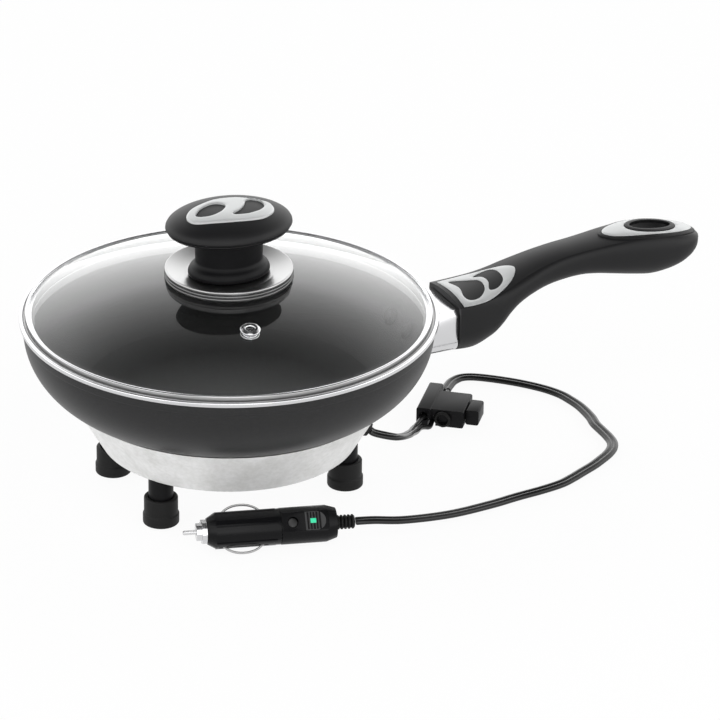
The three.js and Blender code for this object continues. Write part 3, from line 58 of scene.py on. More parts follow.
# %% Wires
class Wire:
    """One output socket, with arithmetic that adds the matching node."""

    def __init__(self, nodes, socket):
        self.nodes = nodes
        self.socket = socket

    def join(self, operation, first, second):
        kinds = [side.socket.type for side in (first, second) if isinstance(side, Wire)]
        vector = "VECTOR" in kinds or "RGBA" in kinds
        made = self.nodes.tree.nodes.new("ShaderNodeVectorMath" if vector else "ShaderNodeMath")
        made.operation = operation
        for socket, value in zip(made.inputs, (first, second)):
            self.nodes.feed(socket, value)
        return Wire(self.nodes, made.outputs[0])

    def __add__(self, other):
        return self.join("ADD", self, other)

    def __radd__(self, other):
        return self.join("ADD", other, self)

    def __sub__(self, other):
        return self.join("SUBTRACT", self, other)

    def __rsub__(self, other):
        return self.join("SUBTRACT", other, self)

    def __mul__(self, other):
        return self.join("MULTIPLY", self, other)

    def __rmul__(self, other):
        return self.join("MULTIPLY", other, self)

    def __gt__(self, other):
        return self.join("GREATER_THAN", self, other)


print("wires ready")

# %% [markdown]
# ## Nodes and finishes
# `Nodes` makes the other nodes of a tree, in a material as well as in the world. `Finish` is one material
# built that way, and its arguments are the inputs of its main shader.

# %% Nodes and finishes
class Nodes:
    """A node tree whose sockets take numbers, colours or wires."""

    def __init__(self, tree):
        self.tree = tree

    def feed(self, socket, value):
        if isinstance(value, Wire):
            self.tree.links.new(value.socket, socket)
        elif socket.type == "RGBA":
            socket.default_value = (*value, 1.0)
        else:
            socket.default_value = value

    def node(self, kind, output=0, settings=None, **inputs):
        """Any node: settings are its own options, inputs are its sockets."""
        made = self.tree.nodes.new("ShaderNode" + kind)
        for name, value in (settings or {}).items():
            setattr(made, name, value)
        for name, value in inputs.items():
            self.feed(made.inputs[name.replace("_", " ")], value)
        return Wire(self, made.outputs[output])

    def place(self):
        return self.node("TexCoord", "Object")

    def noise(self, scale, detail, where=None):
        return self.node("TexNoise", Vector=where or self.place(), Scale=scale, Detail=detail)

    def length(self, vector):
        made = self.node("VectorMath", 1, {"operation": "LENGTH"})
        self.feed(made.socket.node.inputs[0], vector)
        return made

    def ramp(self, value, low, high, from_low=0.0, from_high=1.0):
        """The value carried from one range to another, and held at its ends."""
        return self.node("MapRange", Value=value, From_Min=from_low, From_Max=from_high, To_Min=low,
                         To_Max=high)

    def rays(self, *kinds):
        """One wire for each kind of light ray, which is 1 for that kind and 0 for the rest."""
        path = self.tree.nodes.new("ShaderNodeLightPath")
        return [Wire(self, path.outputs[f"Is {kind} Ray"]) for kind in kinds]

    def mix(self, share, first, second):
        """The colour between two colours."""
        made = self.tree.nodes.new("ShaderNodeMix")
        made.data_type = "RGBA"
        for socket, value in zip((made.inputs[0], made.inputs[6], made.inputs[7]), (share, first, second)):
            self.feed(socket, value)
        return Wire(self, made.outputs[2])

    def blend(self, share, first, second):
        """The shader between two shaders."""
        made = self.tree.nodes.new("ShaderNodeMixShader")
        for socket, value in zip(made.inputs, (share, first, second)):
            self.feed(socket, value)
        return Wire(self, made.outputs[0])


class Finish(Nodes):
    """A material, whose inputs are the sockets of its Principled shader."""

    def __init__(self, name, **inputs):
        self.material = bpy.data.materials.new(name)
        self.material.use_nodes = True
        super().__init__(self.material.node_tree)
        self.shader = self.tree.nodes["Principled BSDF"]
        self.set(**inputs)

    def set(self, **inputs):
        for name, value in inputs.items():
            self.feed(self.shader.inputs[name.replace("_", " ")], value)

    def bump(self, height, depth, strength):
        self.set(Normal=self.node("Bump", Height=height, Distance=depth * MM, Strength=strength))

    def swap(self, share, other):
        """Shows another shader in place of the Principled one, where the share is 1."""
        shown = self.blend(share, Wire(self, self.shader.outputs[0]), other)
        self.feed(self.tree.nodes["Material Output"].inputs[0], shown)


def grey(level):
    return (level, level, level)


print("finish tools ready")

# %% [markdown]
# ## The coating and the castings
# The pan wears a dark metallic coating with fine flecks in it. A cell of noise that passes a threshold
# becomes a fleck, and the same noise gives the skin its slight tooth. The base is cast aluminium, cloudy
# on a large scale and flecked on a small one, so two noises are added before they set its tone.

# %% Coating and cast metal
def coating(name, tone, flecks, roughness, shine, grains):
    look = Finish(name, Metallic=0.35, Roughness=roughness, Specular_IOR_Level=shine)
    grain = look.noise(grains, 0.0)
    fleck = (grain > 0.66) * flecks
    look.set(Base_Color=look.mix(fleck, (tone, tone, tone * 1.03), grey(0.75)))
    look.bump(grain, 0.01, 0.15)
    return look.material


def cast(name):
    look = Finish(name, Metallic=0.4)
    where = look.place()
    level = look.noise(70.0, 6.0, where) * 0.6 + look.noise(420.0, 3.0, where) * 0.4
    shade = look.ramp(level, 0.0, 1.0, 0.35, 0.65)
    look.set(Base_Color=look.mix(shade, (0.58, 0.58, 0.57), grey(0.73)))
    look.set(Roughness=look.ramp(level, 0.55, 0.42))
    look.bump(level, 0.06, 0.3)
    return look.material


COATING_OUT = coating("coating_outside", 0.016, 0.03, 0.42, 0.28, 5200.0)
COATING_IN = coating("coating_inside", 0.009, 0.05, 0.42, 0.32, 3200.0)
CAST = cast("cast_aluminium")
print("coating and cast metal made")

# %% [markdown]
# ## Steel and plastic
# Steel differs mostly in tone and in how blurred its reflections are. The knob's disc was turned on a
# lathe: rings about the pan's axis spread its highlights outwards, which a noise along the radius gives.
# Plastic and rubber are near black, and a low specular level keeps them from looking wet.

# %% Steel and plastic
def metal(name, colour, roughness, grain=0.0):
    look = Finish(name, Base_Color=colour, Metallic=1.0, Roughness=roughness)
    if grain:
        look.set(Roughness=look.ramp(look.noise(900.0, 3.0), roughness - grain, roughness + grain))
    return look.material


def turned(name, colour, roughness):
    look = Finish(name, Base_Color=colour, Metallic=1.0, Roughness=roughness)
    reach = look.length((look.place() - tuple(PAN_AXIS)) * (1.0, 1.0, 0.0))
    rings = look.node("TexNoise", 0, {"noise_dimensions": "1D"}, W=reach, Scale=3500.0, Detail=2.0)
    look.bump(rings, 0.02, 0.6)
    return look.material


def moulded(name, colour, roughness, grain, shine):
    look = Finish(name, Base_Color=colour, Roughness=roughness, Specular_IOR_Level=shine)
    if grain:
        look.bump(look.noise(2600.0, 2.0), grain, 0.5)
    return look.material


BRIGHT = metal("bright_steel", (0.62, 0.62, 0.63), 0.2)
SATIN_STEEL = metal("satin_steel", grey(0.78), 0.33, 0.03)
TURNED = turned("turned_steel", grey(0.38), 0.28)
ZINC = metal("zinc_steel", (0.6, 0.6, 0.58), 0.35, 0.08)
# painted shade: a darker steel for the lid band's groove and the walls that face each other
GROOVE_SHADE_STEEL = metal("groove_painted_shade", grey(0.35), 0.35)
# painted reflection: darker steel for the knob disc's rim wall, standing in for the dark pan it mirrors
RIM_PAINTED_REFLECTION = metal("rim_painted_reflection", grey(0.22), 0.3)
# painted shade: the zinc plug screw is coloured near black for the shade of its recess
SCREW_PAINTED_SHADE = metal("screw_painted_shade", grey(0.05), 0.35)
WIRE_STEEL = metal("wire_steel", grey(0.42), 0.25)
SKIRT_STEEL = Finish("skirt_steel", Base_Color=grey(0.38), Metallic=0.2, Roughness=0.35).material
SILVER = Finish("silver_trim", Base_Color=(0.53, 0.54, 0.54), Metallic=0.35, Roughness=0.4).material
SOFT_BLACK = moulded("soft_touch", (0.007, 0.007, 0.0075), 0.45, 0.02, 0.2)
BLACK = moulded("black_moulding", (0.004, 0.004, 0.0045), 0.42, 0.01, 0.11)
SHINY_BLACK = moulded("plug_plastic", (0.003, 0.003, 0.0035), 0.25, 0.0, 0.13)
RUBBER = moulded("rubber", grey(0.004), 0.55, 0.01, 0.2)
JACKET = moulded("cord_jacket", grey(0.004), 0.28, 0.0, 0.4)
TAB_GREY = moulded("tab_grey", (0.035, 0.035, 0.036), 0.35, 0.0, 0.3)
FIBRE = moulded("pressed_fibre", (0.78, 0.75, 0.68), 0.95, 0.0, 0.5)
BROWN = moulded("fuse_body", (0.3, 0.1, 0.03), 0.3, 0.0, 0.5)
# painted glow: the plug's lamp is not lit, and its faint emission only brightens its green
GREEN_PAINTED_GLOW = Finish("lamp_green", Base_Color=(0.02, 0.42, 0.22), Roughness=0.3, Emission_Color=(0.02, 0.5, 0.25),
               Emission_Strength=0.5).material
print("steel and plastic made")

# %% [markdown]
# ## The lid's glass
# Real glass would hold back the light that ought to reach the pan. So the glass is real only to the eye:
# a ray that carries light or a mirror image passes straight through. A ray that has been refracted counts
# as glossy too, and it has to meet real glass again on its way out, so it is taken off the sum.

# %% Glass
def clear_glass(name):
    look = Finish(name, Base_Color=(0.97, 0.985, 0.98), Roughness=0.0, IOR=1.52, Transmission_Weight=1.0)
    shadow, diffuse, glossy, refracted = look.rays("Shadow", "Diffuse", "Glossy", "Transmission")
    look.swap(shadow + diffuse + glossy - refracted > 0.5, look.node("BsdfTransparent"))
    return look.material


GLASS = clear_glass("lid_glass")
print("finishes:", len(bpy.data.materials))

# %% [markdown]
# ## From a mesh to a piece
# `dress` gives a mesh its material and its body. Faces are shaded smooth, and an edge that turns more
# than `sharp` degrees stays hard, as a real edge does. `show` starts from vertices and faces.

# %% Pieces
WELD = 1e-7


def dress(name, mesh, material, nodes=(), slot=None, body=BODY, sharp=32.0, at=None):
    work = bmesh.new()
    work.from_mesh(mesh)
    bmesh.ops.remove_doubles(work, verts=work.verts, dist=WELD)
    bmesh.ops.recalc_face_normals(work, faces=work.faces)
    for face in work.faces:
        face.smooth = True
    for edge in work.edges:
        edge.smooth = len(edge.link_faces) == 2 and edge.calc_face_angle(0.0) < math.radians(sharp)
    work.to_mesh(mesh)
    work.free()
    if at is not None:
        mesh.transform(at)
    mesh.materials.append(material)
    piece = bpy.data.objects.new(name, mesh)
    bpy.context.scene.collection.objects.link(piece)
    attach(piece, body)
    if nodes:
        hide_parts(*nodes)
    return piece


def show(name, verts, faces, material, **rest):
    mesh = bpy.data.meshes.new(name)
    mesh.from_pydata([Vector(v) for v in verts], [], faces)
    return dress(name, mesh, material, **rest)


print("piece tools ready")

# %% [markdown]
# ## A CAD piece with its edges rounded
# Small moulded and pressed parts have the right shape in the CAD model, and lack only the fine rounding
# that catches the light. `refine` joins the flat facets, rounds the hard edges and shows the result.

# %% Refined CAD pieces
CAD_WELD = 2e-6
FLAT_WITHIN = math.radians(1.5)


def refine(node, material, bevel, slot, body=BODY, sharp=28.0):
    name = node + "_shape"
    work = bmesh.new()
    work.from_mesh(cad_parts[node].data)
    bmesh.ops.remove_doubles(work, verts=work.verts, dist=CAD_WELD)
    bmesh.ops.dissolve_limit(work, angle_limit=FLAT_WITHIN, verts=work.verts, edges=work.edges)
    if bevel:
        turn = math.radians(sharp)
        hard = [e for e in work.edges if len(e.link_faces) == 2 and e.calc_face_angle(0.0) > turn]
        bmesh.ops.bevel(work, geom=hard, offset=bevel * MM, offset_type="OFFSET", segments=2, profile=0.6,
                        affect="EDGES", clamp_overlap=True)
    mesh = bpy.data.meshes.new(name)
    work.to_mesh(mesh)
    work.free()
    return dress(name, mesh, material, (node,), slot, body, sharp)


print("refining ready")

# %% [markdown]
# ## Lines
# A profile is drawn as a few corner points. `rounded` eases each corner by a small curve, as a press or a
# mould leaves it. `smooth_line` runs one curve through all its points, for forms that have no corner.

# %% Lines
CORNER_SHARE = 0.45


def rounded(profile, radius, steps=4, least_turn=0.12):
    points = [Vector(p) for p in profile]
    out = [points[0]]
    for before, here, after in zip(points, points[1:], points[2:]):
        back, ahead = before - here, after - here
        reach = min(radius, back.length * CORNER_SHARE, ahead.length * CORNER_SHARE)
        if reach < 1e-6 or back.angle(-ahead, 0.0) < least_turn:
            out.append(here)
            continue
        first, last = here + back.normalized() * reach, here + ahead.normalized() * reach
        for i in range(steps + 1):
            share = i / steps
            out.append(first.lerp(here, share).lerp(here.lerp(last, share), share))
    out.append(points[-1])
    return [tuple(p) for p in out]


def smooth_line(points, count, closed=False):
    line = [Vector(p) for p in points]
    size = len(line)
    spans = size if closed else size - 1
    out = []
    for i in range(count if closed else count + 1):
        place = i / count * spans
        k = min(int(place), spans - 1)
        t = place - k
        if closed:
            a, b, c, d = (line[(k + j) % size] for j in (-1, 0, 1, 2))
        else:
            a, b, c, d = (line[min(max(k + j, 0), size - 1)] for j in (-1, 0, 1, 2))
        bend, twist = 2 * a - 5 * b + 4 * c - d, 3 * b - a - 3 * c + d
        out.append(0.5 * ((2 * b) + (c - a) * t + bend * t**2 + twist * t**3))
    return out


print("line tools ready")

# %% [markdown]
# ## Round forms
# Pan, lid, base and feet are round, so each is a profile carried round its axis. An oval form is the
# same with its second direction drawn in.

# %% Revolve
def revolve(name, profile, material, steps=160, closed=False, oval=1.0, **rest):
    """Spins (radius, height) points about the pan's axis, or about another one that `at` gives."""
    points = list(profile) + ([profile[0]] if closed else [])
    verts, rings = [], []
    for radius, height in points:
        if radius < 1e-4:
            rings.append([len(verts)] * steps)
            verts.append((0.0, 0.0, height * MM))
            continue
        rings.append(list(range(len(verts), len(verts) + steps)))
        for i in range(steps):
            angle = TURN * i / steps
            verts.append((radius * math.cos(angle) * MM, radius * math.sin(angle) * oval * MM, height * MM))
    faces = []
    for low, high in zip(rings, rings[1:]):
        for i in range(steps):
            j = (i + 1) % steps
            corners = list(dict.fromkeys((low[i], low[j], high[j], high[i])))
            if len(corners) > 2:
                faces.append(corners)
    rest.setdefault("at", TO_PAN)
    return show(name, verts, faces, material, **rest)


def place_of(face):
    """A face's distance from the pan's axis and its height."""
    middle = (face.center - PAN_AXIS) / MM
    return math.hypot(middle.x, middle.y), middle.z


print("revolve ready")

# %% [markdown]
# ## The pan
# The bowl's side is a quarter of an ellipse that the floor cuts off, and its wall keeps one thickness up
# to the lip that the lid sits on. The faces that look up or in wear the inside's finish.

# %% Pan
BOWL_RADIUS, BOWL_MIDDLE, BOWL_TOP, BOWL_HEIGHT = 110.0, 60.0, 91.3, 42.5
FLOOR_UNDER, FLOOR_OVER, WALL = 50.0, 54.0, 2.6
LIP_RADIUS, LIP_TOP, LIP_INSIDE, LIP_EASE = 110.6, 96.2, 106.4, 0.5


def bowl(grow, floor, steps=40):
    width, height = BOWL_RADIUS - BOWL_MIDDLE + grow, BOWL_HEIGHT + grow
    start = math.asin((BOWL_TOP - floor) / height)
    line = []
    for i in range(steps + 1):
        angle = start * (1 - i / steps)
        line.append((BOWL_MIDDLE + width * math.cos(angle), BOWL_TOP - height * math.sin(angle)))
    return line


lip = rounded([
    (BOWL_RADIUS, BOWL_TOP), (LIP_RADIUS, BOWL_TOP + 0.2), (LIP_RADIUS, LIP_TOP - LIP_EASE),
    (LIP_RADIUS - LIP_EASE, LIP_TOP), (LIP_INSIDE, LIP_TOP), (BOWL_RADIUS - WALL, BOWL_TOP),
], 0.4)
outside, inside = bowl(0.0, FLOOR_UNDER), bowl(-WALL, FLOOR_OVER)
pan_profile = [(0, FLOOR_UNDER)] + outside[:-1] + lip + inside[::-1][1:] + [(0, FLOOR_OVER)]
pan = revolve("pan_bowl", pan_profile, COATING_OUT, 192, nodes=("pan",), slot="pan_coating", sharp=50)
pan.data.materials.append(COATING_IN)
for face in pan.data.polygons:
    reach, height = place_of(face)
    inward = (face.center - PAN_AXIS).xy.dot(face.normal.xy) / MM < -0.01 * reach
    if inward or (face.normal.z > 0.05 and height > FLOOR_OVER - 0.5):
        face.material_index = 1
for i in (1, 2):
    refine(f"pan_rivet_{i}", COATING_IN, 0.2, "cast_metal")
print("pan:", len(pan.data.polygons), "faces")

# %% [markdown]
# ## The lid's glass dome
# The glass is a shallow cap of a sphere with an even thickness, and its edge is ground round.

# %% Dome
DOME_TOP, DOME_SPHERE, GLASS_THICK, SCREW_BORE, DOME_REACH = 120.8, 288.99, 3.2, 4.6, 106.4
GLASS_RADIUS, EDGE_HIGH, EDGE_LOW = 108.0, 100.5, 97.3


def dome(radius):
    return DOME_TOP - DOME_SPHERE + math.sqrt(DOME_SPHERE**2 - radius**2)


reaches = [SCREW_BORE + (DOME_REACH - SCREW_BORE) * i / 40 for i in range(41)]
upper = [(reach, dome(reach)) for reach in reaches]
lower = [(reach, height - GLASS_THICK) for reach, height in upper]
glass_edge = rounded([upper[-1], (GLASS_RADIUS, EDGE_HIGH), (GLASS_RADIUS, EDGE_LOW), lower[-1]], 0.6)
revolve("lid_dome", upper[:-1] + glass_edge + lower[::-1][1:], GLASS, 192, closed=True, nodes=("lid_glass",),
        slot="lid_glass", body="lid", sharp=60)
print("dome rises", round(DOME_TOP - dome(DOME_REACH), 1), "mm")

# %% [markdown]
# ## The lid's band
# One strip of steel is rolled round the glass. Its flange lies on the pan's lip, its skirt hangs inside
# the pan, and a bezel holds the glass down. The groove between flange and bezel, and the walls that look
# at each other, are coloured a darker steel: painted shade. The skirt shows through the glass as an even
# grey band, so its finish is much less of a mirror.

# %% Band
SHEET = 0.5
SKIRT, SKIRT_FOOT, BEAD_AT, BEAD, BEAD_FALL = 105.2, 87.8, 92.4, 0.5, 0.4
FLANGE, FLANGE_FOOT, FLANGE_TOP = 112.2, 96.5, 99.0
GROOVE, GROOVE_FLOOR = 109.9, 98.0
BEZEL, BEZEL_TOP, BEZEL_INSIDE = 108.8, 101.3, 107.4
HAIR, MARGIN = 0.05, 0.4
band = [
    (SKIRT, SKIRT_FOOT), (SKIRT, BEAD_AT - BEAD_FALL), (SKIRT + BEAD, BEAD_AT), (SKIRT, BEAD_AT + BEAD),
    (SKIRT, FLANGE_FOOT), (FLANGE, FLANGE_FOOT), (FLANGE, FLANGE_TOP - SHEET), (FLANGE - SHEET, FLANGE_TOP),
    (GROOVE + SHEET, FLANGE_TOP), (GROOVE, FLANGE_TOP - SHEET), (GROOVE, GROOVE_FLOOR), (BEZEL, GROOVE_FLOOR),
    (BEZEL, BEZEL_TOP - SHEET), (BEZEL - SHEET, BEZEL_TOP), (BEZEL_INSIDE, BEZEL_TOP),
    (BEZEL_INSIDE, BEZEL_TOP - SHEET), (BEZEL - SHEET, BEZEL_TOP - SHEET),
    (BEZEL - SHEET, FLANGE_FOOT + SHEET), (SKIRT - SHEET, FLANGE_FOOT + SHEET),
    (SKIRT - SHEET, BEAD_AT + BEAD), (SKIRT - SHEET + BEAD_FALL, BEAD_AT),
    (SKIRT - SHEET, BEAD_AT - BEAD_FALL), (SKIRT - SHEET, SKIRT_FOOT), (SKIRT, SKIRT_FOOT),
]
rim = revolve("lid_rim", rounded(band, 0.35), BRIGHT, 192, nodes=("lid_band",), slot="bright_steel",
              body="lid")
rim.data.materials.append(GROOVE_SHADE_STEEL)
rim.data.materials.append(SKIRT_STEEL)
for face in rim.data.polygons:
    reach, height = place_of(face)
    # painted shade: faces in the groove and on the facing walls get the darker steel of slot 1
    between = FLANGE_FOOT + MARGIN < height < BEZEL_TOP - MARGIN and abs(face.normal.z) < 0.9
    if BEZEL_INSIDE + MARGIN < reach < GROOVE + HAIR and between:
        face.material_index = 1
    if BEZEL - HAIR < reach < GROOVE + HAIR and height > FLANGE_FOOT + 0.3:
        face.material_index = 1
    if reach < SKIRT + BEAD + 0.1 and height < FLANGE_FOOT + SHEET + 0.1:
        face.material_index = 2
print("band:", len(rim.data.polygons), "faces")

# %% [markdown]
# ## The steam vent
# A flanged tube is spread in a hole of the glass. It stands square to the dome, so its axis leans out by
# the slope that the dome has there.

# %% Vent
VENT_TURN, VENT_REACH = math.radians(-103), 58.4
VENT_BORE, VENT_TUBE, VENT_NUT, VENT_FLANGE = 2.3, 3.8, 5.0, 5.4
vent_at = (
    TO_PAN
    @ Matrix.Rotation(VENT_TURN, 4, "Z")
    @ Matrix.Translation((VENT_REACH * MM, 0, dome(VENT_REACH) * MM))
    @ Matrix.Rotation(math.asin(VENT_REACH / DOME_SPHERE), 4, "Y")
)
vent = [
    (VENT_BORE, -4.3), (VENT_NUT, -4.3), (VENT_NUT, -3.5), (VENT_TUBE, -3.5), (VENT_TUBE, 0.3),
    (VENT_FLANGE, 0.3), (VENT_FLANGE, 1.0), (3.9, 1.8), (2.6, 1.5), (VENT_BORE, 1.0), (VENT_BORE, -4.3),
]
revolve("vent_ring", rounded(vent, 0.35), BRIGHT, 48, nodes=("lid_vent",), slot="bright_steel", body="lid",
        at=vent_at)
print("vent at", [round(x, 4) for x in vent_at.translation])

# %% [markdown]
# ## The knob's seal and disc
# A thin seal lies on the glass. The bright dished disc over it has two grooves turned in its rim, whose
# wall is coloured a darker steel: a painted reflection of the dark pan below it.

# %% Seal and disc
SEAL_LOW, SEAL_HIGH, SEAL_RADIUS = 120.9, 121.25, 12
DISC_HOLE, DISH_RADIUS, DISC_RADIUS, RIM_WALL = 2.8, 23.6, 34.4, 1.2
DISC_LOW, DISC_UNDER, DISC_OVER = 120.1, 121.6, 122.35
GROOVES, GROOVE_DEEP, GROOVE_HALF = (121.8, 123.5), 0.5, 0.2
seal = [(SCREW_BORE + 0.1, SEAL_LOW), (SEAL_RADIUS, SEAL_LOW), (SEAL_RADIUS, SEAL_HIGH),
        (SCREW_BORE + 0.1, SEAL_HIGH), (SCREW_BORE + 0.1, SEAL_LOW)]
revolve("knob_seal", rounded(seal, 0.1), RUBBER, 64, nodes=("knob_gasket",), slot="rubber", body="lid")
turned_grooves = []
for height in GROOVES:
    turned_grooves += [(DISC_RADIUS, height - GROOVE_HALF), (DISC_RADIUS - GROOVE_DEEP, height),
                       (DISC_RADIUS, height + GROOVE_HALF)]
disc = [(DISC_HOLE, DISC_UNDER), (DISH_RADIUS, DISC_UNDER), (DISC_RADIUS - RIM_WALL, 124.6),
        (DISC_RADIUS - RIM_WALL, DISC_LOW), (DISC_RADIUS, DISC_LOW)]
disc += turned_grooves + [(DISC_RADIUS, 125.2), (33.8, 125.85), (28.7, 123.9), (DISH_RADIUS, 122.6)]
disc += [(18.0, DISC_OVER), (DISC_HOLE, DISC_OVER), (DISC_HOLE, DISC_UNDER)]
plate = revolve("knob_plate", rounded(disc, 0.4), TURNED, 128, nodes=("knob_disc",), slot="bright_steel",
                body="lid", sharp=50)
plate.data.materials.append(RIM_PAINTED_REFLECTION)
# painted reflection: the rim wall below the disc's top edge gets the darker steel
for face in plate.data.polygons:
    reach, height = place_of(face)
    if reach > 33.6 and height < 125.1:
        face.material_index = 1
print("disc:", len(plate.data.polygons), "faces")

# %% [markdown]
# ## The knob's stem and cap
# Both are oval, with the long way along the handle. The stem flares into a rounded foot. The cap has a
# groove round its side, and its crown is one smooth curve, kept as `crown` for the inlay to follow.

# %% Stem and cap
OVAL = 0.82
STEM_FOOT, STEM_TOP, STEM_RADIUS, CAP_SEAT = 122.7, 146.35, 18.4, 146.7
stem = [(0, STEM_FOOT), (21.1, STEM_FOOT), (22.5, 123.6), (22.5, 125.3), (21.4, 127.6), (19.4, 129.0),
        (STEM_RADIUS, 130.5), (18.9, STEM_TOP), (0, STEM_TOP)]
revolve("knob_neck", rounded(stem, 1.0), BLACK, 96, oval=OVAL, nodes=("knob_stem",), slot="phenolic",
        body="lid")
cap_side = [(31.4, 147.1), (33.4, 148.0), (33.9, 148.9), (32.9, 149.4), (34.8, 150.1), (34.5, 151.7)]
cap_crown = [(34.5, 151.7), (33.0, 153.8), (29.0, 156.2), (22.0, 158.5), (12.0, 159.85), (0.0, 160.1)]
crown = [tuple(p) for p in smooth_line(cap_crown, 30)]
cap_under = [(0, CAP_SEAT), (STEM_RADIUS, CAP_SEAT), (27.0, CAP_SEAT + 0.05)]
revolve("knob_cap_shape", cap_under + rounded(cap_side, 0.5)[:-1] + crown, SOFT_BLACK, 128, oval=OVAL,
        nodes=("knob_cap",), slot="soft_touch", body="lid", sharp=40)


def cap_height(x, y):
    """Height of the crown above a point."""
    reach = math.hypot(x, y / OVAL)
    for (r0, h0), (r1, h1) in zip(crown[::-1], crown[::-1][1:]):
        if r0 <= reach <= r1:
            return h0 + (h1 - h0) * (reach - r0) / max(r1 - r0, 1e-9)
    return crown[0][1]


print("knob stands", round(crown[-1][1] - STEM_FOOT, 1), "mm tall")

# %% [markdown]
# ## Inlays
# The silver pieces are thin plates let into a curved surface. A flat outline with windows is filled with
# triangles, cut finer where its edges are long, and each point is then lifted to the surface below it.

# %% Inlay
EDGE_DROP = 0.28


def inlay(name, outline, windows, height_at, thick, sink, material, step=1.1, **rest):
    work = bmesh.new()
    border = []
    for loop in [outline, *windows]:
        ring = [work.verts.new((x, y, 0.0)) for x, y in loop]
        border += [work.edges.new((a, b)) for a, b in zip(ring, ring[1:] + ring[:1])]
    bmesh.ops.triangle_fill(work, edges=border, use_beauty=True, use_dissolve=False)
    for _ in range(3):
        long = [e for e in work.edges if e.calc_length() > step and not e.is_boundary]
        bmesh.ops.subdivide_edges(work, edges=long, cuts=1)
        bmesh.ops.triangulate(work, faces=work.faces)
    work.verts.index_update()
    tops, lows = [], []
    for vert in work.verts:
        x, y = vert.co.xy
        height = height_at(x, y)
        tops.append((x, y, height + thick - (EDGE_DROP if vert.is_boundary else 0.0)))
        lows.append((x, y, height - sink))
    size = len(tops)
    faces = [[v.index for v in f.verts] for f in work.faces]
    sides = [(e.verts[0].index, e.verts[1].index) for e in work.edges if e.is_boundary]
    work.free()
    under = [[i + size for i in face[::-1]] for face in faces]
    walls = [[a, b, b + size, a + size] for a, b in sides]
    verts = [tuple(c * MM for c in p) for p in tops + lows]
    return show(name, verts, faces + under + walls, material, at=TO_PAN, sharp=50, **rest)


def ring_of(points, count, closed=True):
    """A smooth outline through the points."""
    return [(p.x, p.y) for p in smooth_line([(x, y, 0.0) for x, y in points], count, closed)]


def oval_ring(x, half_length, half_width, count=72):
    turns = [TURN * i / count for i in range(count)]
    return [(x + half_length * math.cos(turn), half_width * math.sin(turn)) for turn in turns]


print("inlay tools ready")

# %% [markdown]
# ## The knob's inlay
# The outline and its two windows are shares of the inlay's half length and half width. Two more CAD
# pieces, the washer and the screw under the glass, close the knob.

# %% Knob inlay
INLAY_X, INLAY_Y, INLAY_HALF_LENGTH, INLAY_HALF_WIDTH = -1.05, -3.3, 24.0, 14.4
outline_shares = [
    (-0.97, 0.26), (-1, -0.09), (-0.9, -0.4), (-0.6, -0.67), (-0.16, -0.9), (0.32, -1), (0.66, -0.88),
    (0.94, -0.49), (0.99, 0.01), (0.9, 0.26), (0.54, 0.7), (0.29, 0.92), (-0.09, 1), (-0.44, 0.85),
    (-0.75, 0.64),
]
window_shares = [
    [(-0.81, 0.03), (-0.72, -0.17), (-0.49, -0.27), (-0.22, -0.11), (-0.03, 0.24), (-0.05, 0.51),
     (-0.23, 0.69), (-0.53, 0.53), (-0.72, 0.26)],
    [(-0.03, -0.4), (0.01, -0.56), (0.3, -0.62), (0.62, -0.45), (0.8, -0.15), (0.83, 0.26), (0.7, 0.55),
     (0.52, 0.49), (0.38, 0.13), (0.19, -0.19)],
]


def on_cap(shares, count):
    points = [(INLAY_X + x * INLAY_HALF_LENGTH, INLAY_Y + y * INLAY_HALF_WIDTH) for x, y in shares]
    return ring_of(points, count)


knob_inlay = inlay("knob_inlay", on_cap(outline_shares, 72), [on_cap(shares, 48) for shares in window_shares],
                   cap_height, 1.2, 0.4, SILVER, nodes=("knob_trim",), slot="silver_trim", body="lid")
for node in ("knob_washer", "knob_screw"):
    refine(node, ZINC, 0.2, "zinc_steel", "lid")
print("knob inlay:", len(knob_inlay.data.polygons), "faces")

# %% [markdown]
# ## The base and its legs
# The base is a cast cone with a thin wall and a ledge inside for the bottom cover. Four posts stand in
# rubber feet, one at each corner of a rectangle.

# %% Base
CONE_LOW, CONE_LOW_RADIUS, CONE_HIGH_RADIUS = 26.7, 69.6, 85.6
LEDGE_LOW, LEDGE_TOP, LEDGE_RADIUS = 28.2, 31.0, 67.4
housing = [
    (CONE_LOW_RADIUS, CONE_LOW), (CONE_HIGH_RADIUS, 54.3), (84.0, 53.7), (82.5, 53.0), (69.7, LEDGE_TOP),
    (LEDGE_RADIUS, LEDGE_TOP), (LEDGE_RADIUS, LEDGE_LOW), (68.1, LEDGE_LOW), (67.2, CONE_LOW),
    (CONE_LOW_RADIUS, CONE_LOW),
]
revolve("base_cone", rounded(housing, 0.5), CAST, 160, nodes=("base_housing",), slot="cast_metal")
POST_RADIUS, POST_LOW, POST_TOP = 6.7, 2.9, 26.4
FOOT_LOW_RADIUS, FOOT_RADIUS, FOOT_BORE, FOOT_TOP, FOOT_FLOOR = 9.75, 9.1, 7.0, 15.6, 2.6
post = [(0, POST_LOW), (POST_RADIUS, POST_LOW), (POST_RADIUS, POST_TOP), (0, POST_TOP)]
pad = [
    (0, 0), (9.2, 0), (FOOT_LOW_RADIUS, 0.6), (FOOT_LOW_RADIUS, 5.6), (FOOT_RADIUS, 6.3), (FOOT_RADIUS, 15.0),
    (8.5, FOOT_TOP), (FOOT_BORE, FOOT_TOP), (FOOT_BORE, FOOT_FLOOR), (0, FOOT_FLOOR),
]
LEG_X, LEG_Y = 54.14, 32.79
corners = [(LEG_X, -LEG_Y), (-LEG_X, -LEG_Y), (-LEG_X, LEG_Y), (LEG_X, LEG_Y)]
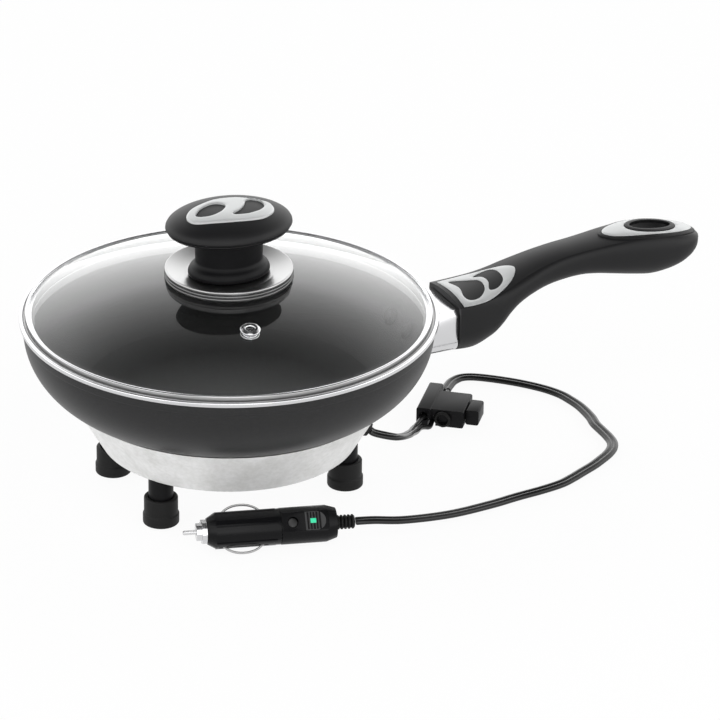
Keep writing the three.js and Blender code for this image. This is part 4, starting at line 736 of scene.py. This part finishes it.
for i, (x, y) in enumerate(corners, 1):
    at = Matrix.Translation(PAN_AXIS + Vector((x * MM, y * MM, 0)))
    revolve(f"post_{i}", post, BLACK, 40, nodes=(f"leg_{i}",), slot="phenolic", at=at)
    revolve(f"foot_pad_{i}", rounded(pad, 0.4), RUBBER, 48, nodes=(f"foot_{i}",), slot="rubber", at=at)
print("base and", len(corners), "legs made")

# %% [markdown]
# ## What the base and the handle hide
# These pieces hardly show. They keep the CAD model's shape with square edges and get their finishes.

# %% Hidden pieces
hidden = {
    "base_cover": (ZINC, "zinc_steel"), "heater_ring": (SATIN_STEEL, "heater_sheath"),
    "heater_clamp": (ZINC, "zinc_steel"), "heater_pad": (FIBRE, "fibre_pad"),
    "centre_stud": (ZINC, "zinc_steel"), "centre_nut": (ZINC, "zinc_steel"),
    "terminal_block": (FIBRE, "terminal_ceramic"),
    "thermal_cutout": (BLACK, "phenolic"), "inner_wires": (JACKET, "cord_jacket"),
    "handle_bracket": (CAST, "cast_metal"), "handle_screw": (ZINC, "zinc_steel"),
}
for i in range(1, 5):
    hidden[f"leg_screw_{i}"] = (ZINC, "zinc_steel")
for node, (material, slot) in hidden.items():
    refine(node, material, 0.0, slot)
refine("cord_grommet", RUBBER, 0.2, "rubber")
print("hidden pieces:", len(hidden))

# %% [markdown]
# ## The grip
# The grip is lofted through stations along its length. A station gives its place, its top and its bottom
# as shares of the rise, and how wide the crown's crease and the whole section are as shares of the half
# width. Smooth curves run between the stations, and a small curve eases the crease.

# %% Grip
STATIONS = [
    (0, 0.645, 0, 0.96, 1), (0.071, 0.655, -0.005, 0.96, 1), (0.136, 0.681, 0.075, 0.88, 0.975),
    (0.175, 0.709, 0.167, 0.8, 0.95), (0.214, 0.743, 0.31, 0.725, 0.9), (0.252, 0.783, 0.409, 0.65, 0.85),
    (0.305, 0.832, 0.488, 0.575, 0.775), (0.369, 0.883, 0.548, 0.525, 0.69), (0.441, 0.922, 0.581, 0.5, 0.64),
    (0.512, 0.945, 0.593, 0.5, 0.63), (0.577, 0.964, 0.574, 0.54, 0.66), (0.641, 0.984, 0.537, 0.58, 0.715),
    (0.719, 1, 0.491, 0.6, 0.78), (0.792, 0.991, 0.458, 0.6, 0.81), (0.853, 0.965, 0.475, 0.58, 0.8),
    (0.902, 0.936, 0.512, 0.53, 0.76), (0.945, 0.905, 0.573, 0.43, 0.65), (0.976, 0.871, 0.641, 0.3, 0.48),
    (1, 0.821, 0.704, 0.1, 0.2),
]
GRIP_START, GRIP_LENGTH, GRIP_LOW, GRIP_RISE, GRIP_HALF, CROWN = 129.0, 154.3, 54.7, 49.7, 20.0, 2.4
WIDEST_SHARE, FULLNESS, CREASE_EASE, GRIP_RINGS = 0.6, 0.8, 1.5, 108


def quarter(steps):
    return [i / steps * math.pi / 2 for i in range(1, steps + 1)]


def grip_section(top, bottom, crease, full):
    high, low = GRIP_LOW + GRIP_RISE * top, GRIP_LOW + GRIP_RISE * bottom
    edge, side, fall = GRIP_HALF * crease, GRIP_HALF * full, CROWN * crease
    middle = low + (high - low) * WIDEST_SHARE
    right = [(edge * s, high - fall * s * s) for s in (i / 6 for i in range(7))]
    for lean in quarter(6):
        rise = (high - fall - middle) * math.cos(lean)
        right.append((edge + (side - edge) * math.sin(lean), middle + rise))
    for lean in quarter(10)[:-1]:
        drop = (middle - low) * math.sin(lean) ** FULLNESS
        right.append((side * math.cos(lean) ** FULLNESS, middle - drop))
    right.append((0.0, low))
    eased = rounded(right[5:9], CREASE_EASE, 3, least_turn=-1.0)
    right = right[:6] + eased[1:-1] + right[8:]
    left = [(-y, z) for y, z in right[1:-1]]
    return right + left[::-1]


def resampled(stations, count):
    out = smooth_line([(s[0], s[1], s[2]) for s in stations], count)
    wide = smooth_line([(s[0], s[3], s[4]) for s in stations], count)
    return [(a.x, a.y, a.z, b.y, b.z) for a, b in zip(out, wide)]


def skin_of(rings, size):
    """Four-sided faces between one ring of points and the next."""
    faces = []
    for k in range(rings - 1):
        for i in range(size):
            j = (i + 1) % size
            faces.append((k * size + i, k * size + j, (k + 1) * size + j, (k + 1) * size + i))
    return faces


def ends_of(rings, size):
    return [tuple(range(size)), tuple(range((rings - 1) * size, rings * size))]


grip_rings = []
for along, *shape in resampled(STATIONS, GRIP_RINGS):
    grip_rings.append([(GRIP_START + GRIP_LENGTH * along, y, z) for y, z in grip_section(*shape)])
ring_size = len(grip_rings[0])
grip_verts = [tuple(c * MM for c in p) for ring in grip_rings for p in ring]
grip_skin = skin_of(len(grip_rings), ring_size)
grip = show("grip_shape", grip_verts, grip_skin + ends_of(len(grip_rings), ring_size), SOFT_BLACK,
            nodes=("handle_grip",), slot="soft_touch", at=TO_PAN, sharp=45)
print("grip:", len(grip_rings), "sections of", ring_size, "points")

# %% [markdown]
# ## The hanging hole
# The hole goes right through, so it is cut with a boolean and the modifier's result is kept as the mesh.

# %% Hanging hole
HOLE_X, HOLE_HALF_LENGTH, HOLE_HALF_WIDTH = 254.3, 12.4, 6.2
CUT_LOW, CUT_HIGH = 60.0, 120.0


def prism(outline, low, high):
    """The vertices and faces of a flat outline carried from one height to another."""
    size = len(outline)
    verts = [(x * MM, y * MM, z * MM) for z in (low, high) for x, y in outline]
    faces = [tuple(range(size))[::-1], tuple(range(size, size * 2))]
    faces += [(i, (i + 1) % size, (i + 1) % size + size, i + size) for i in range(size)]
    return verts, faces


def cut(piece, outline, low, high):
    mesh = bpy.data.meshes.new("hang_cutter")
    verts, faces = prism(outline, low, high)
    mesh.from_pydata(verts, [], faces)
    mesh.transform(TO_PAN)
    tool = bpy.data.objects.new("hang_cutter", mesh)
    bpy.context.scene.collection.objects.link(tool)
    step = piece.modifiers.new("cut", "BOOLEAN")
    step.operation, step.solver, step.object = "DIFFERENCE", "EXACT", tool
    bpy.context.view_layer.update()
    result = bpy.data.meshes.new_from_object(piece.evaluated_get(bpy.context.evaluated_depsgraph_get()))
    piece.modifiers.clear()
    piece.data = result
    bpy.data.objects.remove(tool)
    for face in piece.data.polygons:
        face.use_smooth = True


hang = oval_ring(HOLE_X, HOLE_HALF_LENGTH, HOLE_HALF_WIDTH)
cut(grip, hang, CUT_LOW, CUT_HIGH)
print("grip after the cut:", len(grip.data.polygons), "faces")

# %% [markdown]
# ## The handle's trims
# Two silver plates and the raised pad round the hanging hole lie on the grip's top. A ray dropped on the
# grip before it was cut gives the height at each of their points.

# %% Handle trims
skin_triangles = [triangle for a, b, c, d in grip_skin for triangle in ((a, b, c), (a, c, d))]
surface = BVHTree.FromPolygons([Vector(v) for v in grip_verts], skin_triangles, all_triangles=True)
RAY_START, PAST_THE_GRIP = 0.2, 90.0


def grip_height(x, y):
    hit = surface.ray_cast(Vector((x * MM, y * MM, RAY_START)), Vector((0, 0, -1)))[0]
    return hit.z / MM if hit else PAST_THE_GRIP


TRIM_START, TRIM_LENGTH, TRIM_HALF, TRIM_SIDE = 129.8, 40.3, 17.4, -1.4
END_X, COARSE = 252.44, 2.2
edge_shares = [(0.04, 0.98), (0.22, 1), (0.42, 0.96), (0.62, 0.8), (0.78, 0.62), (0.92, 0.36)]
front_shares = edge_shares + [(1, 0)] + [(x, -y) for x, y in edge_shares[::-1]]
front_windows = [
    [(0.16, 0.72), (0.37, 0.47), (0.51, 0.18), (0.48, -0.36), (0.33, -0.73), (0.18, -0.73), (0.14, -0.45),
     (0.19, 0.07)],
    [(0.49, 0.56), (0.71, 0.64), (0.8, 0.32), (0.77, -0.29), (0.63, -0.57), (0.52, -0.5), (0.59, -0.07),
     (0.58, 0.32)],
]


def on_grip(shares, count, closed=True):
    points = [(TRIM_START + x * TRIM_LENGTH, y * TRIM_HALF + TRIM_SIDE) for x, y in shares]
    return ring_of(points, count, closed)


inlay("front_trim_shape", on_grip(front_shares, 60, False), [on_grip(window, 40) for window in front_windows],
      grip_height, 0.55, 0.5, SILVER, step=COARSE, nodes=("handle_front_trim",), slot="silver_trim")
inlay("end_pad", oval_ring(END_X, 29.8, 13.4), [hang], grip_height, 0.75, 0.5, SOFT_BLACK, step=COARSE,
      slot="soft_touch")
inlay("end_trim_shape", oval_ring(END_X, 27.4, 11), [oval_ring(HOLE_X, 15.5, 9.3)], grip_height, 1.25, 0.3,
      SILVER, step=COARSE, nodes=("handle_end_trim",), slot="silver_trim")
inlay("hang_rim", oval_ring(HOLE_X, 15.2, 9.0), [hang], grip_height, 1.65, 0.3, SOFT_BLACK, step=COARSE,
      slot="soft_touch")
refine("handle_ferrule", BRIGHT, 0.3, "bright_steel")
print("handle dressed")

# %% [markdown]
# ## The cord's route
# A flat twin lead leaves the base through its grommet and reaches an inline fuse holder. From there the
# long run curls behind the handle's end and comes forward to the plug. The points repeat the CAD part's
# route, measured from the bowl's right edge. Beside the holder the two conductors part: one goes round it,
# and one goes in and out.

# %% Route
CONE_MEET_RADIUS, CONE_RISE, GROMMET_RISE, GROMMET_TURN = 85.7, 27.7, 6.0, math.radians(-27.5)
LAID_HEIGHT = 1.9


def grommet_point(distance):
    """A point on the grommet's axis, which is square to the cone."""
    slope = math.atan2(CONE_MEET_RADIUS - CONE_LOW_RADIUS, CONE_RISE)
    face = CONE_LOW_RADIUS + (CONE_MEET_RADIUS - CONE_LOW_RADIUS) * GROMMET_RISE / CONE_RISE
    reach = face + distance * math.cos(slope)
    height = CONE_LOW + GROMMET_RISE - distance * math.sin(slope)
    return (reach * math.cos(GROMMET_TURN), reach * math.sin(GROMMET_TURN), height)


def from_bowl(places):
    return [(BOWL_RADIUS + x, y, z) for x, y, z in places]


LEAD = [grommet_point(3.8), grommet_point(7.0)] + from_bowl([
    (-31.7, -39.8, 27), (-25.5, -38.1, 24.8), (-17.2, -29.1, 20), (-8.6, -15.5, 13.2), (-1.2, -4.3, 7.6),
    (3.2, 1.7, 5.6), (6.5, 5.5, 4.6),
])
LAID = [
    (43.2, 45.6), (47.9, 50.7), (53.2, 55.2), (60.2, 57.1), (69.2, 52.8), (83.3, 40.1), (94.1, 26.7),
    (99.8, 15.7), (101.9, 6.4), (102.9, -2.5), (102.7, -10.7), (101.9, -18.6), (100.3, -26.2),
    (99.9, -34.2), (99.5, -42.1),
    (98.2, -50), (94.8, -56.4), (89.2, -61.9), (82, -66.9), (74.8, -71.3), (66.2, -75.6), (58.1, -79.7),
    (49.1, -83.4), (36.1, -85.8), (20.3, -87.5),
]
MAIN = from_bowl([(x, y, LAID_HEIGHT) for x, y in LAID] + [
    (2.4, -91, 2.5), (-24.4, -96.2, 4.8), (-52.1, -98.5, 8.4), (-68.9, -95.9, 10.6), (-78.4, -93.2, 10.7),
])
ROUND_HOLDER = [
    (15, 8.1), (18.8, 12.9), (23.2, 18.3), (28.6, 25.1), (34.1, 31.8), (38.7, 37.3), (41.6, 41.1), (44, 44.2),
]
RETURN = from_bowl([(7.1, 3.8, 4.8), (10.5, 5.9, 3.6)] + [(x, y, LAID_HEIGHT) for x, y in ROUND_HOLDER])
FUSED_IN = from_bowl([(4.8, 5.8, 4.8), (9.3, 9.5, 5.4), (13.3, 13, 6), (15.8, 16.1, 6)])
FUSED_OUT = from_bowl([
    (33.4, 38.2, 6), (35.2, 40.6, 6), (37.2, 42.8, 5.4), (39.6, 44.8, 3), (42.9, 47.4, LAID_HEIGHT),
])


def route(points, count):
    return [p * MM + PAN_AXIS for p in smooth_line(points, count)]


def length_of(line):
    return sum((b - a).length for a, b in zip(line, line[1:]))


lead_line, main_line, return_line = route(LEAD, 60), route(MAIN, 260), route(RETURN, 60)
print("lead", round(length_of(lead_line), 4), "m, main run", round(length_of(main_line), 4), "m")

# %% [markdown]
# ## The cord itself
# A section is swept along each route. The twin's section is a flat oval with a waist between its two
# conductors, and a single conductor is round.

# %% Cord
TWIN_HALF, TWIN_RISE, WAIST, WAIST_HALF, WIRE = 3.1, 1.6, 0.42, 0.6, 1.4
END_SHARE = 0.85
UP = Vector((0.0, 0.0, 1.0))


def frames_along(line):
    """A sideways and an upward direction at every point of a line."""
    out = []
    for i, here in enumerate(line):
        ahead = (line[min(i + 1, len(line) - 1)] - line[max(i - 1, 0)]).normalized()
        side = ahead.cross(UP).normalized()
        out.append((here, side, side.cross(ahead).normalized()))
    return out


def tube(name, line, section, **rest):
    """Sweeps a section of (across, up) points along a line in metres, drawn in a little at both ends."""
    verts = []
    for place, (here, side, up) in enumerate(frames_along(line)):
        share = END_SHARE if place in (0, len(line) - 1) else 1.0
        for across, rise in section:
            verts.append(here + side * (across * share * MM) + up * (rise * share * MM))
    faces = skin_of(len(line), len(section)) + ends_of(len(line), len(section))
    return show(name, verts, faces, JACKET, slot="cord_jacket", **rest)


def twin_section(count=28):
    out = []
    for i in range(count):
        cosine, sine = math.cos(TURN * i / count), math.sin(TURN * i / count)
        across = TWIN_HALF * math.copysign(abs(cosine) ** 0.8, cosine)
        waist = 1.0 - WAIST * math.exp(-((across / WAIST_HALF) ** 2))
        out.append((across, TWIN_RISE * math.copysign(abs(sine) ** 0.75, sine) * waist))
    return out


def wire_section(count=16):
    return [(WIRE * math.cos(TURN * i / count), WIRE * math.sin(TURN * i / count)) for i in range(count)]


lead = tube("lead_run", lead_line, twin_section(), nodes=("cord_lead",), sharp=50)
main_run = tube("main_run", main_line, twin_section(), nodes=("cord_main",), sharp=50)
return_run = tube("return_run", return_line, wire_section())
fused_in = tube("fused_in_run", route(FUSED_IN, 24), wire_section())
fused_out = tube("fused_out_run", route(FUSED_OUT, 24), wire_section())
print("cord made in", len([lead, main_run, return_run, fused_in, fused_out]), "runs")

# %% [markdown]
# ## Fuse holder and plug
# Both are small moulded parts, so the CAD shapes are taken as they are, with rounded edges. The plug's
# shell also has a small grey tab beside its lamp, round at one end, which is a plate on the shell's flat.

# %% Holder and plug
holder = refine("fuse_holder", BLACK, 0.25, "plug_plastic")
fuse = refine("blade_fuse", BROWN, 0.15, "fuse_plastic")
cover = refine("fuse_cap", BLACK, 0.25, "plug_plastic", "fuse_cap")
tether = refine("fuse_tether", RUBBER, 0.0, "rubber", sharp=60)
plug_looks = {
    "plug_nose_ring": (BRIGHT, 0.3, "bright_steel", BODY),
    "plug_barrel": (SHINY_BLACK, 0.2, "plug_plastic", BODY),
    "plug_lower_shell": (SHINY_BLACK, 0.3, "plug_plastic", BODY),
    "plug_upper_shell": (SHINY_BLACK, 0.2, "plug_plastic", BODY),
    "plug_lamp": (GREEN_PAINTED_GLOW, 0.15, "lamp_green", BODY),
    # the plug screw's near-black steel is painted shade of its recess
    "plug_screw": (SCREW_PAINTED_SHADE, 0.15, "zinc_steel", BODY), "plug_relief": (RUBBER, 0.15, "rubber", BODY),
    "plug_fuse": (SATIN_STEEL, 0.1, "lid_glass", BODY), "plug_tip": (BRIGHT, 0.1, "bright_steel", "plug_tip"),
    "plug_contact_lower": (WIRE_STEEL, 0.0, "bright_steel", "contact_lower"),
    "plug_contact_upper": (WIRE_STEEL, 0.0, "bright_steel", "contact_upper"),
}
plug_parts = [refine(node, look, bevel, slot, body) for node, (look, bevel, slot, body) in plug_looks.items()]
PLUG_NOSE, PLUG_TURN, PLUG_ROLL = Vector((-57.2, -68.7, 10.7)), math.radians(-15.4), math.radians(50.0)
TAB_FLAT, TAB_MIDDLE, TAB_HALF, TAB_SUNK, TAB_TOP = 64.3, 70.3, 5.0, 8.0, 8.55
plug_at = (
    Matrix.Translation(PAN_AXIS + PLUG_NOSE * MM)
    @ Matrix.Rotation(PLUG_TURN, 4, "Z")
    @ Matrix.Rotation(PLUG_ROLL, 4, "X")
)
turns = [math.radians(-90 + 10 * i) for i in range(19)]
tab = [(TAB_FLAT, -TAB_HALF)]
tab += [(TAB_MIDDLE + TAB_HALF * math.cos(turn), TAB_HALF * math.sin(turn)) for turn in turns]
tab += [(TAB_FLAT, TAB_HALF)]
tab_verts, tab_faces = prism(tab, TAB_SUNK, TAB_TOP)
plug_parts.append(show("plug_tab", tab_verts, tab_faces, TAB_GREY, slot="plug_plastic", at=plug_at))
print("plug parts:", len(plug_parts))

# %% [markdown]
# ## The cord's lengths
# The length of each free run is taken along its line.

length_of(lead_line)
length_of(return_line)
length_of(main_line)

# %% [markdown]
# ## The surroundings
# The backdrop is white to the camera and through the glass. To the object it is a soft studio whose light
# comes from low down and fades towards the top, which leaves the front of the dome dark and its back
# bright, as in the photograph.

# %% Surroundings
HORIZON, ZENITH, HORIZON_LIGHT, ZENITH_LIGHT = 0.42, 0.82, 2.2, 0.05
WHITE = grey(1.0)
world = bpy.data.worlds.new("studio")
bpy.context.scene.world = world
world.use_nodes = True
sky = Nodes(world.node_tree)
sky.tree.nodes.clear()
rise = sky.node("SeparateXYZ", 2, Vector=sky.node("TexCoord", "Generated"))
strength = sky.ramp(rise, HORIZON_LIGHT, ZENITH_LIGHT, HORIZON, ZENITH)
studio = sky.node("Background", Color=WHITE, Strength=strength)
seen, seen_through = sky.rays("Camera", "Transmission")
backdrop = sky.blend(seen + seen_through, studio, sky.node("Background", Color=WHITE, Strength=1.0))
sky.feed(sky.tree.nodes.new("ShaderNodeOutputWorld").inputs[0], backdrop)
print("surroundings:", len(sky.tree.nodes), "nodes")

# %% [markdown]
# ## Lamps and floor
# Large soft lamps at the sides and in front draw the long highlights on steel and coating. The floor is
# white to the camera, in mirror images and through the glass, and a small share of its own shading keeps
# the object's shadow.

# %% Lamps and floor
LAMP_AIM = Vector((-0.05, 0.0, 0.06))
FLOOR_HALF, FLOOR_DROP, FLOOR_GLOW = 4.0, 0.3, 0.93


def lamp(name, place, width, height, power):
    data = bpy.data.lights.new(name, "AREA")
    data.shape = "RECTANGLE"
    data.size, data.size_y, data.energy = width, height, power
    made = bpy.data.objects.new(name, data)
    bpy.context.scene.collection.objects.link(made)
    made.location = place
    made.rotation_euler = (LAMP_AIM - Vector(place)).to_track_quat("-Z", "Y").to_euler()


lamp("left_box", (-1.3, -0.5, 0.7), 0.5, 0.9, 1.2)
lamp("right_box", (1.1, -0.7, 0.6), 0.4, 0.9, 1.3)
lamp("front_box", (-0.4, -1.6, 0.5), 0.5, 0.5, 1.0)
lamp("key_box", (-0.35, -0.7, 1.35), 0.7, 0.7, 3.0)
look = Finish("floor_white", Base_Color=grey(0.9), Roughness=0.9)
seen, mirrored, seen_through = look.rays("Camera", "Glossy", "Transmission")
look.swap(seen * FLOOR_GLOW + mirrored + seen_through, look.node("Emission", Color=WHITE, Strength=1.0))
mesh = bpy.data.meshes.new("floor")
signs = [(-1, -1), (1, -1), (1, 1), (-1, 1)]
floor_corners = [(FLOOR_HALF * x, FLOOR_HALF * y) for x, y in signs]
mesh.from_pydata([(x, y, -FLOOR_DROP * MM) for x, y in floor_corners], [], [(0, 1, 2, 3)])
mesh.materials.append(look.material)
floor = bpy.data.objects.new("floor", mesh)
bpy.context.scene.collection.objects.link(floor)
print("lamps:", len(bpy.data.lights), "and a floor", 2 * FLOOR_HALF, "m wide")

# %% [markdown]
# ## Camera
# The picture was taken from the front left, a little above the lid, with a long lens. The handle runs
# away to the right. The sideways shift keeps the pan left of the middle.

# %% Camera
AZIMUTH, ELEVATION, DISTANCE, AIM_HEIGHT = math.radians(-24.0), math.radians(25.46), 2.619, 0.0705
camera = bpy.data.objects.new("camera", bpy.data.cameras.new("camera"))
bpy.context.scene.collection.objects.link(camera)
bpy.context.scene.camera = camera
away = Vector((
    math.sin(AZIMUTH) * math.cos(ELEVATION), -math.cos(AZIMUTH) * math.cos(ELEVATION), math.sin(ELEVATION),
))
camera.location = PAN_AXIS + Vector((0, 0, AIM_HEIGHT)) + DISTANCE * away
camera.rotation_euler = (math.pi / 2 - ELEVATION, 0.0, AZIMUTH)
camera.data.sensor_width = 36.0
camera.data.lens = 244.2
camera.data.shift_x = 0.18203
camera.data.clip_start, camera.data.clip_end = 0.1, 20.0
bpy.context.scene.view_settings.view_transform = "Standard"
print("camera at", [round(x, 3) for x in camera.location])
